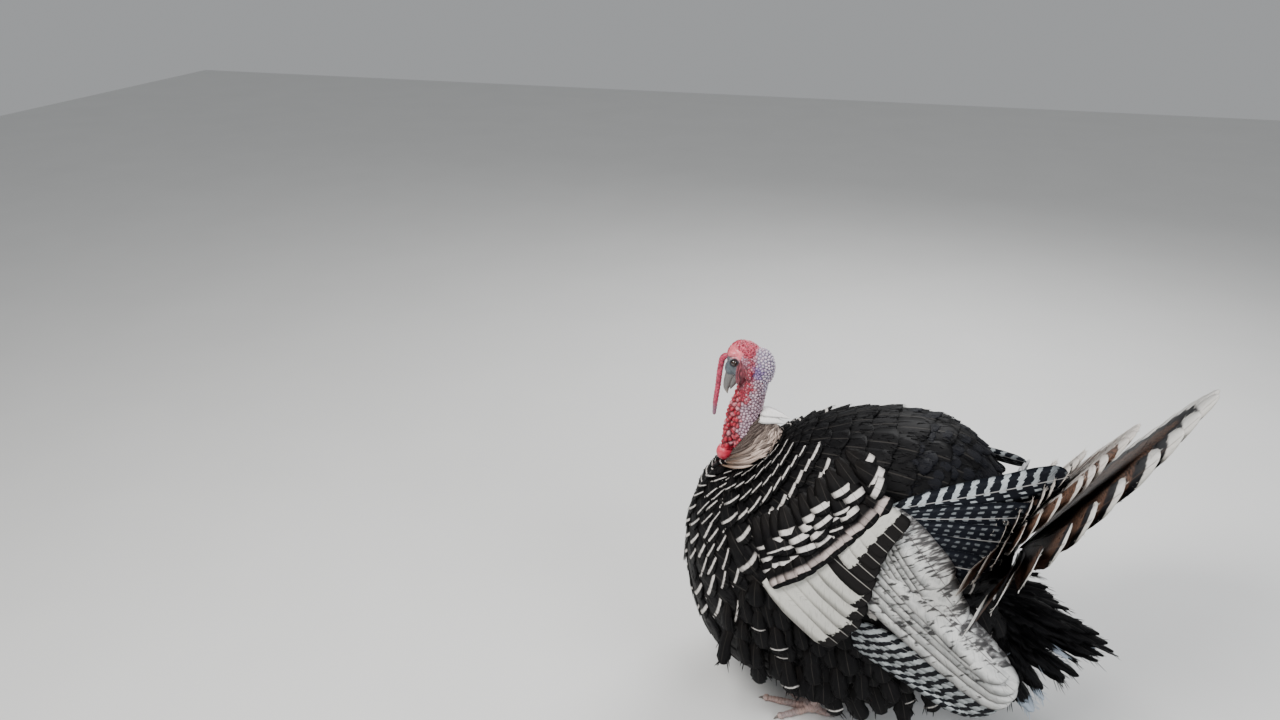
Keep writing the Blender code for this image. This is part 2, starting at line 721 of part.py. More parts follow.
def neck_place(share, turn):
    """A place on the neck's skin; turn 0 faces the breast."""
    centre = along_line(NECK_PATH, share)
    radius = along_line([(r, 0, 0) for r in NECK_RADII], share).x
    return centre + Vector((-math.cos(turn), math.sin(turn), 0)) * radius


def neck_tube():
    """The bare neck's plain tube."""
    radii = [place.x for place in spread_out([(r, 0, 0) for r in NECK_RADII], NECK_RINGS)]
    return tube("neck", spread_out(NECK_PATH, NECK_RINGS), radii, 16)


def neck_knobs():
    """Large red caruncles down the front of the neck, small knobs round its sides and back."""
    knobs = []
    for row in range(KNOB_ROWS):
        share = KNOB_FIRST + (KNOB_LAST - KNOB_FIRST) * row / (KNOB_ROWS - 1)
        size = KNOB_LARGE * (1.12 - 0.30 * row / (KNOB_ROWS - 1))
        for k in range(KNOBS_FRONT):
            turn = FRONT_STEP * (k - 1) + FRONT_STAGGER * (-1) ** row
            grow = 0.9 + 0.2 * DRAW.random()
            knobs.append(lump(neck_place(share, turn), (size * grow, size * 0.85, size * grow)))
        for k in range(KNOBS_BACK):
            turn = BACK_START + BACK_ARC * (k + 0.5 * (row % 2)) / (KNOBS_BACK - 0.5)
            grow = 0.85 + 0.3 * DRAW.random()
            knobs.append(ball("knob", neck_place(share, turn), (KNOB_SMALL * grow,) * 3, DRAW.random(), 1))
    return knobs


def torus(name, centre, radius, thick, around=10, sides=4):
    """A ring in a plane that faces sideways, along Y."""
    points, faces = [], []
    for i in range(around):
        turn = 2 * math.pi * i / around
        ray = Vector((math.cos(turn), 0, math.sin(turn)))
        for j in range(sides):
            round_turn = 2 * math.pi * j / sides
            spot = centre + ray * (radius + thick * math.cos(round_turn))
            points.append(spot + Vector((0, thick * math.sin(round_turn), 0)))
    for i in range(around):
        for j in range(sides):
            a, b = i * sides, ((i + 1) % around) * sides
            k = (j + 1) % sides
            faces.append((a + j, a + k, b + k, b + j))
    return new_object(name, points, faces)


def skull_place(forward, rise, sign):
    """A place on the skull's side, from distances ahead of and above its centre, along its own axes."""
    along = Vector((-math.cos(HEAD_PITCH), 0, -math.sin(HEAD_PITCH)))
    top = Vector((-math.sin(HEAD_PITCH), 0, math.cos(HEAD_PITCH)))
    rest = 1 - (forward / HEAD_RADII[0]) ** 2 - (rise / HEAD_RADII[2]) ** 2
    out = HEAD_RADII[1] * math.sqrt(max(rest, 0.0))
    return HEAD_CENTRE + along * forward + top * rise + Vector((0, sign * out, 0))


def skull():
    """The skull's ellipsoid, in rings across its length."""
    turn = Matrix.Translation(HEAD_CENTRE) @ Matrix.Rotation(math.pi - HEAD_PITCH + math.pi / 2, 4, "Y")
    place = turn @ Matrix.Diagonal((HEAD_RADII[2], HEAD_RADII[1], HEAD_RADII[0], 1.0))
    sphere = bmesh.ops.create_uvsphere
    return primitive("skull", place, sphere, u_segments=16, v_segments=10, radius=1.0)


def oval_place(centre, reach, lift, sign):
    """A place on an oval round a centre, raised by an angle, in the middle or to one side."""
    ahead, aside, above = reach
    return centre + Vector((ahead * math.cos(lift), sign * aside, above * math.sin(lift)))


def crown_and_nape():
    """Lumps over the crown and knobs down the nape, three abreast."""
    made = []
    for k in range(CROWN_LUMPS):
        lift = math.radians(CROWN_START + CROWN_STEP * k)
        ahead, aside, above = CROWN_REACH
        for sign in (-1, 0, 1):
            spot = oval_place(HEAD_CENTRE, (-ahead, aside, above), lift, sign)
            made.append(ball("lump", spot, CROWN_LUMP, DRAW.random(), 1))
    for k in range(NAPE_KNOBS):
        lift = math.radians(NAPE_START + NAPE_ARC * k / (NAPE_KNOBS - 1))
        behind, aside, above = NAPE_REACH
        for sign in (-1, 0, 1):
            share = NAPE_SIDE_SHARE if sign else 1.0
            spot = oval_place(NAPE_CENTRE, (behind * share, aside, above), lift, sign)
            made.append(ball("knob", spot, (KNOB_SMALL,) * 3, DRAW.random(), 1))
    return made


def brow(sign):
    """The ridge over one eye."""
    ahead, above = BROW_START
    line = [skull_place(ahead + BROW_STEP * k, above - BROW_BEND * k * k, sign * 0.8) for k in range(4)]
    return tube("brow", line, BROW_RADII, 5)


def cheek_fold(k, sign):
    """One of the folds that run forwards under one eye."""
    ahead, above = FOLD_START
    level = above - FOLD_APART * k
    line = [skull_place(ahead + FOLD_STEP * s, level - FOLD_DROP * s, sign) for s in range(4)]
    return tube("fold", line, FOLD_RADII, 4)


def head_pieces():
    """The pieces of the bare head: skull, puffed nape and crown, brows, cheek folds and lids."""
    extras = [skull(), ball("nape", NAPE_CENTRE, NAPE_RADII, math.radians(12), 2)]
    extras += crown_and_nape()
    for sign in (-1, 1):
        eye = Vector((EYE_CENTRE.x, -sign * EYE_CENTRE.y, EYE_CENTRE.z))
        extras.append(torus("lid", eye + Vector((0, sign * LID_OUT, 0)), LID_RADIUS, LID_THICK))
        extras.append(brow(sign))
        extras += [cheek_fold(k, sign) for k in range(CHEEK_FOLDS)]
    return extras


def build_eyes():
    eyes = []
    for side, sign in (("left", 1), ("right", -1)):
        place = Vector((EYE_CENTRE.x, sign * EYE_CENTRE.y, EYE_CENTRE.z))
        eyes.append(ball("eye_" + side, place, (EYE_RADIUS,) * 3))
    return eyes


def upper_beak(along, mouth, under):
    """The upper half of the beak, bowed along its ridge, with a nostril on each side."""
    bowed = [BEAK_ROOT.lerp(BEAK_TIP, share) + BEAK_BOW for share in BEAK_SHARES]
    path = [BEAK_ROOT - along * BEAK_SUNK, BEAK_ROOT, *bowed, BEAK_TIP]
    upper = tube("beak_upper", path, BEAK_RADII, 14, BEAK_NARROW)
    behind = half_space(mouth, under)
    cut(upper, "DIFFERENCE", behind)
    remove(behind)
    for sign in (-1, 1):
        place = BEAK_ROOT + along * NOSTRIL_ALONG + Vector((-NOSTRIL_FORWARD, sign * NOSTRIL_SIDE, 0))
        pit = ball("pit", place, NOSTRIL_RADII, NOSTRIL_TILT, 1)
        cut(upper, "DIFFERENCE", pit)
        remove(pit)
    return upper


def lower_beak(along, mouth, under):
    """The lower half of the beak, flat along the line of the mouth."""
    base = mouth + under * LOWER_DROP
    path = [base + along * reach for reach in LOWER_REACH]
    lower = tube("beak_lower", path, LOWER_RADII, 12, LOWER_NARROW)
    front = half_space(mouth + under * GAP, -under)
    cut(lower, "DIFFERENCE", front)
    remove(front)
    return lower


def build_beak():
    """Both halves of the beak, parted along the line of the mouth."""
    along = (BEAK_TIP - BEAK_ROOT).normalized()
    under = Vector((-along.z, 0, along.x))
    mouth = BEAK_ROOT + under * MOUTH_DROP
    return upper_beak(along, mouth, under), lower_beak(along, mouth, under)


def toe_scutes(foot, ahead, length):
    """The plates along the top of one toe."""
    plates = []
    for k in range(1, int(length / TOE_SCUTE) - 1):
        spot = foot + ahead * TOE_SCUTE * (k + 1)
        level = TOE_SCUTE_LEVEL - TOE_SCUTE_FALL * k
        plates.append(ball("scute", Vector((spot.x, spot.y, level)), TOE_SCUTE_RADII, 0.0, 1))
    return plates


def toe(foot, ahead, length):
    """One toe flat on the ground, with raised scutes along its top, and its claw."""
    tip = foot + ahead * length
    places = [foot.lerp(tip, share) for share in TOE_SHARES]
    path = [Vector((p.x, p.y, z)) for p, z in zip(places, TOE_LEVELS)]
    pieces = [tube("toe", path, TOE_RADII, 8)] + toe_scutes(foot, ahead, length)
    ground = Vector((tip.x, tip.y, 0))
    claw_path = [ground + ahead * along + Vector((0, 0, up)) for along, up in CLAW_LINE]
    return pieces, tube("claw", claw_path, CLAW_RADII, 6)


def build_foot(side, shank):
    """Four toes spread from a pad, flat underneath, and their claws."""
    foot, out = FOOT[side], -1 if side == "left" else 1
    floor = half_space(Vector((0, 0, 0)), Vector((0, 0, -1)))
    pieces, claws = [], []
    for name, length, heading in TOES:
        turn = math.radians(heading) * out
        made, claw = toe(foot, Vector((-math.cos(turn), math.sin(turn), 0)), length)
        pieces += made
        claw.name = "claw_%s_%s" % (name, side)
        cut(claw, "DIFFERENCE", floor)
        claws.append(claw)
    body = fuse(ball("foot_" + side, foot, FOOT_PAD, 0.0, 1), pieces)
    thin_out(body, FOOT_KEPT)
    cut(body, "DIFFERENCE", floor)
    remove(floor)
    make_room(body, [shank] + claws)


def build_leg(side, body):
    """A drumstick let into the belly, and a scaled shank with its spur down to the foot."""
    knee, hock, foot = KNEE[side], HOCK[side], FOOT[side]
    out = -1 if side == "left" else 1
    ankle = foot + ANKLE_OFF
    thigh = tube("thigh_" + side, spread_out((knee, hock), len(THIGH_RADII)), THIGH_RADII, 10)
    line = [hock.lerp(knee, 0.20), hock, hock.lerp(ankle, 0.5), ankle]
    shank = tube("shank_" + side, line, SHANK_RADII, 10, 0.9)
    places = [hock.lerp(ankle, share) + SCUTE_OFF for share in SHANK_SCUTES]
    room = link("room", shank.data.copy())
    fuse(shank, [ball("scute", place, SCUTE_RADII, SCUTE_TILT, 1) for place in places])
    root = hock.lerp(ankle, SPUR_SHARE)
    back = Vector((1.0, 0.25 * -out, 0.15)).normalized()
    spur = tube("spur_" + side, [root + back * reach for reach in SPUR_REACH], SPUR_RADII, 6)
    make_room(shank, [spur])
    make_room(body, [thigh, room])
    make_room(thigh, [room])
    build_foot(side, room)
    remove(room)


def build_head(body):
    """Head and neck are modelled as one and parted by a thin cut across the throat."""
    neck = neck_tube()
    eyes, beak = build_eyes(), build_beak()
    snood = tube("snood", SNOOD_PATH, SNOOD_RADII)
    bulb = ball("throat_bulb", BULB_CENTRE, (BULB_RADIUS,) * 3)
    make_room(body, [neck, bulb])
    fuse(neck, neck_knobs() + head_pieces())
    thin_out(neck, HEAD_KEPT)
    head = link("head", neck.data.copy())
    upper = half_space(THROAT_CUT, (0, 0, 1))
    lower = half_space(THROAT_CUT - Vector((0, 0, GAP)), (0, 0, -1))
    cut(head, "INTERSECT", upper)
    cut(neck, "INTERSECT", lower)
    remove(upper, lower)
    make_room(head, eyes + [snood, *beak])
    make_room(neck, [bulb, beak[1]])


def build_beard():
    """A tuft of stiff, tapered locks that hangs in the cleft of the breast."""
    beard = ball("beard", BEARD_ROOT, BEARD_BASE)
    locks = []
    for k in range(BEARD_LOCKS):
        aside = BEARD_SPREAD * (2 * k / (BEARD_LOCKS - 1) - 1)
        turn = (-1) ** k
        tip = BEARD_TIP + Vector((LOCK_SWAY * turn, aside, LOCK_STEP * (k % 3)))
        middle = BEARD_ROOT.lerp(tip, 0.5) + Vector((LOCK_BOW_SWAY * turn - LOCK_BOW, aside * 0.25, 0))
        locks.append(tube("lock", [BEARD_ROOT, middle, tip], LOCK_RADII, 5))
    return fuse(beard, locks)


def paint(obj):
    """Gives a part its material, by the first words of its name."""
    key = next(key for key in sorted(FINISHES, key=len, reverse=True) if obj.name.startswith(key))
    colour, roughness = FINISHES[key]
    made = bpy.data.materials.new(obj.name)
    made.use_nodes = True
    shader = made.node_tree.nodes["Principled BSDF"]
    shader.inputs["Base Color"].default_value = (*colour, 1.0)
    shader.inputs["Roughness"].default_value = roughness
    obj.data.materials.clear()
    obj.data.materials.append(made)


def settle():
    """Puts the middle of the bird's box over the origin, and finishes each part."""
    objects = list(bpy.context.scene.objects)
    spots = [v.co for obj in objects for v in obj.data.vertices]
    middle = [(min(p[i] for p in spots) + max(p[i] for p in spots)) / 2 for i in range(2)]
    for obj in objects:
        obj.data.transform(Matrix.Translation((-middle[0], -middle[1], 0)))
        obj.data.shade_smooth()
        obj.data.set_sharp_from_angle(angle=math.radians(40))
        paint(obj)


def build():
    clear_scene()
    body = body_shape()
    undertail = build_undertail()
    build_head(body)
    build_tail(body, undertail)
    make_room(body, [undertail, build_beard()])
    build_wings(body)
    for side in ("left", "right"):
        build_leg(side, body)
    merge_flat(body)
    settle()


build()
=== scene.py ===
# %% [markdown]
# A turkey tom in strut, life size, as a museum would show it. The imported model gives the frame, and
# this lesson dresses it: one bare skin for head, neck and body, feathers as real meshes laid in the
# order they grow on a bird, and procedural finishes that follow each feather's own length.

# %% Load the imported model
import math

import bpy
import numpy as np
from mathutils import Matrix, Vector, noise
from mathutils.bvhtree import BVHTree
from mathutils.kdtree import KDTree


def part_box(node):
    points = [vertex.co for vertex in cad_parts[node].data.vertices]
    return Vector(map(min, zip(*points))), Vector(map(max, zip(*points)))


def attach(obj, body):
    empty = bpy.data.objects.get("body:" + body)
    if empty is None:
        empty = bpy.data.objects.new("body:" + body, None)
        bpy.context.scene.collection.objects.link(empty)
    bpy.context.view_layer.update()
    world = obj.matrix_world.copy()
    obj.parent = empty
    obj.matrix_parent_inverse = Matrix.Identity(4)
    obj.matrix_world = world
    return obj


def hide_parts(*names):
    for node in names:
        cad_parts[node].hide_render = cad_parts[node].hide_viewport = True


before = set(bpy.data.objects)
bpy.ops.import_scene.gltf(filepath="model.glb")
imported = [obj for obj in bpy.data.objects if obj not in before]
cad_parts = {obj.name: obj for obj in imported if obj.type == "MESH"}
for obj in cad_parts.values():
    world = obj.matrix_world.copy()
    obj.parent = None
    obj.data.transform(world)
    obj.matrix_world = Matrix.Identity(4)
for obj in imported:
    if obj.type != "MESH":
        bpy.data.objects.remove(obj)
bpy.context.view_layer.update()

print("packed model:", len(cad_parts), "nodes")

# %% [markdown]
# The bird was modelled with its head towards -X and its left side towards -Y, and was then centred.
# The left eye is a small ball, so the middle of its box shows how far everything was moved.

# %% Find the bird's own frame
EYE = Vector((-0.262, -0.0225, 0.714))
EYE_RADIUS = 0.0065
low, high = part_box("eye_left")
SHIFT = (low + high) / 2 - EYE
RNG = np.random.default_rng(7)
print("moved by", [round(x, 4) for x in SHIFT])

# %% [markdown]
# The photograph was taken from standing height: the camera is about 1.5 m up, looks down by 24.5
# degrees, and the bird stands right of and below the middle of the frame.

# %% Place the camera, the floor and the soft light
CAMERA_AT = Vector((0.025, -1.721, 1.50))
LOOK_DOWN = math.radians(24.5)
LOOK_ASIDE = math.radians(15.5)
LENS_MM = 28.125
SENSOR_MM = 36.0
SKY = (0.86, 0.88, 0.90, 1)
SKY_STRENGTH = 0.42
FLOOR_SIZE = 14


def deselect():
    """Clears the selection, because operators act on all that is selected."""
    bpy.ops.object.select_all(action="DESELECT")


def choose(*objects):
    """Selects objects, the first of them as the active one."""
    deselect()
    for obj in objects:
        obj.select_set(True)
    bpy.context.view_layer.objects.active = objects[0]


def place_camera():
    """A camera that stands and looks as the photograph's did."""
    level, drop = math.cos(LOOK_DOWN), math.sin(LOOK_DOWN)
    aim = Vector((-math.sin(LOOK_ASIDE) * level, math.cos(LOOK_ASIDE) * level, -drop))
    turn = aim.to_track_quat("-Z", "Y").to_euler()
    bpy.ops.object.camera_add(location=CAMERA_AT + SHIFT, rotation=turn)
    camera = bpy.context.active_object
    camera.data.sensor_width = SENSOR_MM
    camera.data.lens = LENS_MM
    bpy.context.scene.camera = camera


def add_light(place, target, size, power, colour=(1, 1, 1)):
    """A round soft light that is aimed at a target."""
    turn = (Vector(target) - Vector(place)).to_track_quat("-Z", "Y").to_euler()
    bpy.ops.object.light_add(type="AREA", location=place, rotation=turn)
    light = bpy.context.active_object.data
    light.shape = "DISK"
    light.size = size
    light.energy = power
    light.color = colour


deselect()
place_camera()
add_light((-1.1, -1.5, 2.6), (-0.1, 0, 0.4), 1.3, 96, (1.0, 0.98, 0.95))
add_light((1.9, -1.4, 1.9), (0, 0, 0.35), 1.6, 42, (0.93, 0.96, 1.0))
add_light((0.2, 1.9, 2.3), (0, 0, 0.4), 1.6, 60)
world = bpy.data.worlds.new("studio")
bpy.context.scene.world = world
world.use_nodes = True
sky = world.node_tree.nodes["Background"]
sky.inputs["Color"].default_value = SKY
sky.inputs["Strength"].default_value = SKY_STRENGTH
print("camera and three soft lights")

# %% [markdown]
# Materials are built from nodes. Writing them as sums keeps them readable, so a small class wraps a
# socket and turns Python's operators into Math nodes. Every other node comes from one method.

# %% A way to write shader maths


def forwards(operation):
    """An operator with this value first."""
    return lambda value, other: value.math(operation, other)


def backwards(operation):
    """An operator with this value second."""
    kind = {"operation": operation}
    return lambda value, other: value.tree.node("ShaderNodeMath", kind, {0: other, 1: value})


class Value:
    """One output socket, with operators that add Math nodes."""

    def __init__(self, tree, socket):
        self.tree, self.socket = tree, socket

    def math(self, operation, *others):
        return self.tree.node("ShaderNodeMath", {"operation": operation}, dict(enumerate((self,) + others)))

    __add__, __radd__ = forwards("ADD"), backwards("ADD")
    __sub__, __rsub__ = forwards("SUBTRACT"), backwards("SUBTRACT")
    __mul__, __rmul__ = forwards("MULTIPLY"), backwards("MULTIPLY")
    __gt__, __lt__ = forwards("GREATER_THAN"), forwards("LESS_THAN")

    def __abs__(self):
        return self.math("ABSOLUTE")

    def sine(self):
        return self.math("SINE")

    def step(self, start, end):
        """Rises smoothly from 0 at start to 1 at end."""
        settings = {"interpolation_type": "SMOOTHSTEP"}
        inputs = {"Value": self, "From Min": start, "From Max": end}
        return self.tree.node("ShaderNodeMapRange", settings, inputs)


class Finish:
    """A material made around one Principled shader."""

    def __init__(self, name, roughness=0.5, **constants):
        self.material = bpy.data.materials.new(name)
        self.material.use_nodes = True
        self.nodes = self.material.node_tree.nodes
        self.links = self.material.node_tree.links
        self.shader = self.nodes["Principled BSDF"]
        self.shader.inputs["Roughness"].default_value = roughness
        for socket, value in constants.items():
            self.shader.inputs[socket.replace("_", " ")].default_value = value

    def set(self, socket, value):
        """Gives a socket a link or a constant."""
        if isinstance(value, Value):
            self.links.new(value.socket, socket)
        elif socket.type == "RGBA":
            socket.default_value = (*value, 1.0)
        else:
            socket.default_value = value

    def node(self, kind, settings=None, inputs=None, out=0):
        """Adds a node of any type: its settings first, then its sockets by name or number."""
        made = self.nodes.new(kind)
        for key, value in (settings or {}).items():
            setattr(made, key, value)
        for key, value in (inputs or {}).items():
            self.set(made.inputs[key], value)
        return Value(self, made.outputs[out])

    def mix(self, first, second, share):
        """Goes from the first colour to the second as share goes from 0 to 1."""
        return self.node("ShaderNodeMix", {"data_type": "RGBA"}, {0: share, 6: first, 7: second}, 2)

    def noise(self, at, scale, detail=2.0):
        return self.node("ShaderNodeTexNoise", {}, {"Vector": at, "Scale": scale, "Detail": detail})

    def vector(self, x, y, z):
        return self.node("ShaderNodeCombineXYZ", {}, {0: x, 1: y, 2: z})

    def attribute(self, name, out="Fac"):
        return self.node("ShaderNodeAttribute", {"attribute_name": name}, {}, out)

    def place(self):
        """Where a point is in its piece."""
        return self.node("ShaderNodeTexCoord", {}, {}, "Object")

    def part(self, vector, number):
        """One number of a vector: 0 for x, 1 for y and 2 for z."""
        return self.node("ShaderNodeSeparateXYZ", {}, {0: vector}, number)

    def bump(self, height, distance, strength=1.0):
        inputs = {"Height": height, "Distance": distance, "Strength": strength}
        return self.node("ShaderNodeBump", {}, inputs)

    def use(self, **inputs):
        """Links values to the shader and hands out the material."""
        for socket, value in inputs.items():
            self.set(self.shader.inputs[socket.replace("_", " ")], value)
        return self.material


def floor_finish():
    """A pale floor with the faintest mottling."""
    f = Finish("studio_floor", 0.75)
    at = f.place()
    return f.use(Base_Color=f.mix((0.70, 0.70, 0.69), (0.75, 0.75, 0.74), f.noise(at, 3.0)))


deselect()
bpy.ops.mesh.primitive_plane_add(size=FLOOR_SIZE)
floor = bpy.context.active_object
floor.name = "studio_floor"
floor.data.materials.append(floor_finish())
print("floor laid")

# %% [markdown]
# Modelling helpers. Balls start from a primitive, and tubes from a circle that is swept along a line.
# Modifiers are applied at once, so overlapping shapes can be melted into one skin. The last helper
# puts a finished piece on the model, with its place kept in its mesh.

# %% Helpers for modelling


def modify(obj, kind, **settings):
    """Adds one modifier and applies it."""
    step = obj.modifiers.new(kind.lower(), kind)
    for key, value in settings.items():
        setattr(step, key, value)
    choose(obj)
    bpy.ops.object.modifier_apply(modifier=step.name)
    return obj


def melt(obj, voxel, smoothing=0):
    """Turns overlapping shapes into one skin and may then smooth it a few times."""
    modify(obj, "REMESH", mode="VOXEL", voxel_size=voxel, adaptivity=0.0)
    if smoothing:
        modify(obj, "SMOOTH", factor=0.5, iterations=smoothing)
    return obj


def combine(obj, other, operation):
    """Adds another object to this one or cuts it out, and removes the other."""
    modify(obj, "BOOLEAN", operation=operation, solver="MANIFOLD", object=other)
    bpy.data.objects.remove(other)


def unit(ways):
    """The same directions, each one long."""
    return ways / np.linalg.norm(ways, axis=-1)[..., None]


def gone_along(line):
    """How far along a line each of its places is."""
    return np.concatenate([[0], np.cumsum(np.linalg.norm(np.diff(line, axis=0), axis=1))])


def ball(centre, radii, pitch=0.0, segments=24, rings=16, yaw=0.0):
    """An ellipsoid whose first radius is turned down by pitch, then round by yaw."""
    deselect()
    bpy.ops.mesh.primitive_uv_sphere_add(segments=segments, ring_count=rings, radius=1.0)
    obj = bpy.context.active_object
    turn = Matrix.Rotation(yaw, 4, "Z") @ Matrix.Rotation(pitch, 4, "Y")
    obj.data.transform(Matrix.Translation(centre) @ turn @ Matrix.Diagonal((*radii, 1.0)))
    return obj


def curve_through(points, count):
    """Evenly counted places on a smooth line through the points."""
    points = np.array(points, float)
    knots = np.arange(len(points))
    slopes = np.gradient(points, axis=0)
    out = []
    for at in np.linspace(0, len(points) - 1, count):
        i = min(int(at), len(points) - 2)
        t = at - knots[i]
        a, b = (2 * t**3 - 3 * t**2 + 1), (3 * t**2 - 2 * t**3)
        c, d = (t**3 - 2 * t**2 + t), (t**3 - t**2)
        out.append(a * points[i] + b * points[i + 1] + c * slopes[i] + d * slopes[i + 1])
    return np.array(out)


def tube(points, radii, count=24, sides=16, flat=1.0, name="tube"):
    """A closed tube along a smooth line, made by sweeping a circle; flat narrows it across Y."""
    line = curve_through(points, count)
    sizes = curve_through([[r, 0, 0] for r in radii], count)[:, 0]
    ahead = unit(np.gradient(line, axis=0))
    across = unit(np.tile([0.0, 1.0, 0.0], (count, 1)) - ahead * ahead[:, 1:2])
    up = np.cross(ahead, across)
    turns = np.linspace(0, 2 * math.pi, sides, endpoint=False)
    aside = np.cos(turns)[None, :, None] * sizes[:, None, None] * flat
    rise = np.sin(turns)[None, :, None] * sizes[:, None, None]
    rings = line[:, None, :] + across[:, None, :] * aside + up[:, None, :] * rise
    verts = rings.reshape(-1, 3).tolist()
    faces = [tuple(range(sides)), tuple(reversed(range(len(verts) - sides, len(verts))))]
    for i in range(count - 1):
        for j in range(sides):
            k = (j + 1) % sides
            a, b = i * sides, (i + 1) * sides
            faces.append((a + j, b + j, b + k, a + k))
    mesh = bpy.data.meshes.new(name)
    mesh.from_pydata(verts, [], faces)
    obj = bpy.data.objects.new(name, mesh)
    bpy.context.scene.collection.objects.link(obj)
    choose(obj)
    bpy.ops.object.mode_set(mode="EDIT")
    bpy.ops.mesh.select_all(action="SELECT")
    bpy.ops.mesh.normals_make_consistent(inside=False)
    bpy.ops.object.mode_set(mode="OBJECT")
    return obj


def join(objects, name):
    """Joins objects into one."""
    choose(*objects)
    bpy.ops.object.join()
    joined = bpy.context.active_object
    joined.name = name
    joined.data.name = name
    return joined


def points_of(obj, field="co"):
    """The places of all vertices as one array, or with the field normal the ways that they face."""
    out = np.empty(len(obj.data.vertices) * 3)
    obj.data.vertices.foreach_get(field, out)
    return out.reshape(-1, 3)


def move_points(obj, places):
    """Puts every vertex in a new place."""
    obj.data.vertices.foreach_set("co", np.asarray(places, np.float32).ravel())
    obj.data.update()


def finish_piece(obj, name, material, nodes=()):
    """Names a piece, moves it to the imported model's place and hands it to the frame."""
    obj.name = name
    obj.data.name = name
    obj.data.transform(Matrix.Translation(SHIFT))
    obj.data.materials.clear()
    obj.data.materials.append(material)
    obj.data.shade_smooth()
    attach(obj, "root")
    if nodes:
        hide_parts(*nodes)
    print(name, len(obj.data.polygons), "faces")


print("modelling helpers ready")

# %% [markdown]
# The puffed body is measured the way it was modelled: lowest point, highest point and half width at
# stations from breast to rump. The skin lies a coat's depth inside that outline, and feathers fill
# the rest. A sphere with rings round the body's length is a good start, because every vertex already
# knows how far along and how far round it is.

# %% The outline of the puffed plumage
BODY = (
    (-0.359, 0.335, 0.350, 0.012),
    (-0.347, 0.255, 0.425, 0.066),
    (-0.322, 0.182, 0.470, 0.112),
    (-0.285, 0.124, 0.498, 0.154),
    (-0.235, 0.086, 0.522, 0.188),
    (-0.170, 0.064, 0.560, 0.211),
    (-0.100, 0.057, 0.600, 0.219),
    (-0.020, 0.060, 0.624, 0.218),
    (0.060, 0.074, 0.634, 0.213),
    (0.125, 0.100, 0.630, 0.198),
    (0.175, 0.138, 0.611, 0.174),
    (0.215, 0.184, 0.578, 0.146),
    (0.250, 0.240, 0.525, 0.112),
    (0.278, 0.298, 0.460, 0.072),
    (0.292, 0.350, 0.380, 0.012),
)
WAIST = 0.44
BACK_POWER = 0.92
BELLY_POWER = 0.66
CLEFT_DEPTH = 0.020
CLEFT_HALF = 0.028
CLEFT_TOP = 0.47
CLEFT_END = -0.20
CLEFT_BLEND = 0.10
COAT_DEPTH = 0.013


def steady_slopes(x, y):
    """Slopes for a smooth line through points that never overshoots them."""
    steps = np.diff(y) / np.diff(x)
    same = steps[:-1] * steps[1:] > 0
    total = np.where(same, steps[:-1] + steps[1:], 1.0)
    inner = np.where(same, 2 * steps[:-1] * steps[1:] / total, 0.0)
    return np.concatenate([[steps[0]], inner, [steps[-1]]])


def read_line(x, y, at):
    """Reads the smooth line through some points."""
    slopes = steady_slopes(x, y)
    i = np.clip(np.searchsorted(x, at, side="right") - 1, 0, len(x) - 2)
    span = x[i + 1] - x[i]
    t = (np.clip(at, x[0], x[-1]) - x[i]) / span
    level = (2 * t**3 - 3 * t**2 + 1) * y[i] + (3 * t**2 - 2 * t**3) * y[i + 1]
    return level + span * ((t**3 - 2 * t**2 + t) * slopes[i] + (t**3 - t**2) * slopes[i + 1])


def on_plumage(share, turn):
    """Places on the plumage; share runs from breast to rump, turn goes round each section."""
    rows = np.array(BODY).T
    x = rows[0][0] + (rows[0][-1] - rows[0][0]) * (1 - np.cos(math.pi * share)) / 2
    low, high, half = [read_line(rows[0], rows[k], x) for k in (1, 2, 3)]
    waist = low + WAIST * (high - low)
    c, s = np.cos(turn), np.sin(turn)
    power = np.where(s > 0, BACK_POWER, BELLY_POWER)
    y = half * np.sign(c) * np.abs(c) ** power
    z = waist + np.where(s > 0, high - waist, waist - low) * np.sign(s) * np.abs(s) ** power
    breast = np.where(z < CLEFT_TOP, np.clip((CLEFT_END - x) / CLEFT_BLEND, 0, 1), 0.0)
    x = x + CLEFT_DEPTH * breast * np.exp(-((y / CLEFT_HALF) ** 2))
    return np.stack([x, y, z], axis=1)


def body_core():
    """The body under its coat: a sphere shaped to the plumage, then drawn in by the coat's depth."""
    core = ball((0, 0, 0), (1, 1, 1), math.pi / 2, 96, 72)
    p = points_of(core)
    share = np.arccos(np.clip(-p[:, 0], -1, 1)) / math.pi
    move_points(core, on_plumage(share, np.arctan2(p[:, 2], p[:, 1])))
    modify(core, "DISPLACE", strength=-COAT_DEPTH, mid_level=0.0, direction="NORMAL")
    return core


core = body_core()
CORE = BVHTree.FromObject(core, bpy.context.evaluated_depsgraph_get())
print("body under the coat:", len(core.data.vertices), "vertices")

# %% [markdown]
# Feathers lie along streams that part round the neck and meet again at the tail. On a ball, all the
# circles through two points make just such streams, so the two points are set where neck and tail
# leave the body, and each circle is thrown out onto the skin. A place on the coat is then two
# numbers: the stream's turn round the neck, and how far down the stream it lies.

# %% Streams from the neck to the tail
MIDDLE = Vector((-0.030, 0.0, 0.340))
NECK_ROOT = Vector((-0.225, 0.0, 0.527))
TAIL_ROOT = Vector((0.285, 0.0, 0.390))
STREAMS = 180
STATIONS = 120
NECK_RING = 0.040
TAIL_RING = 0.012


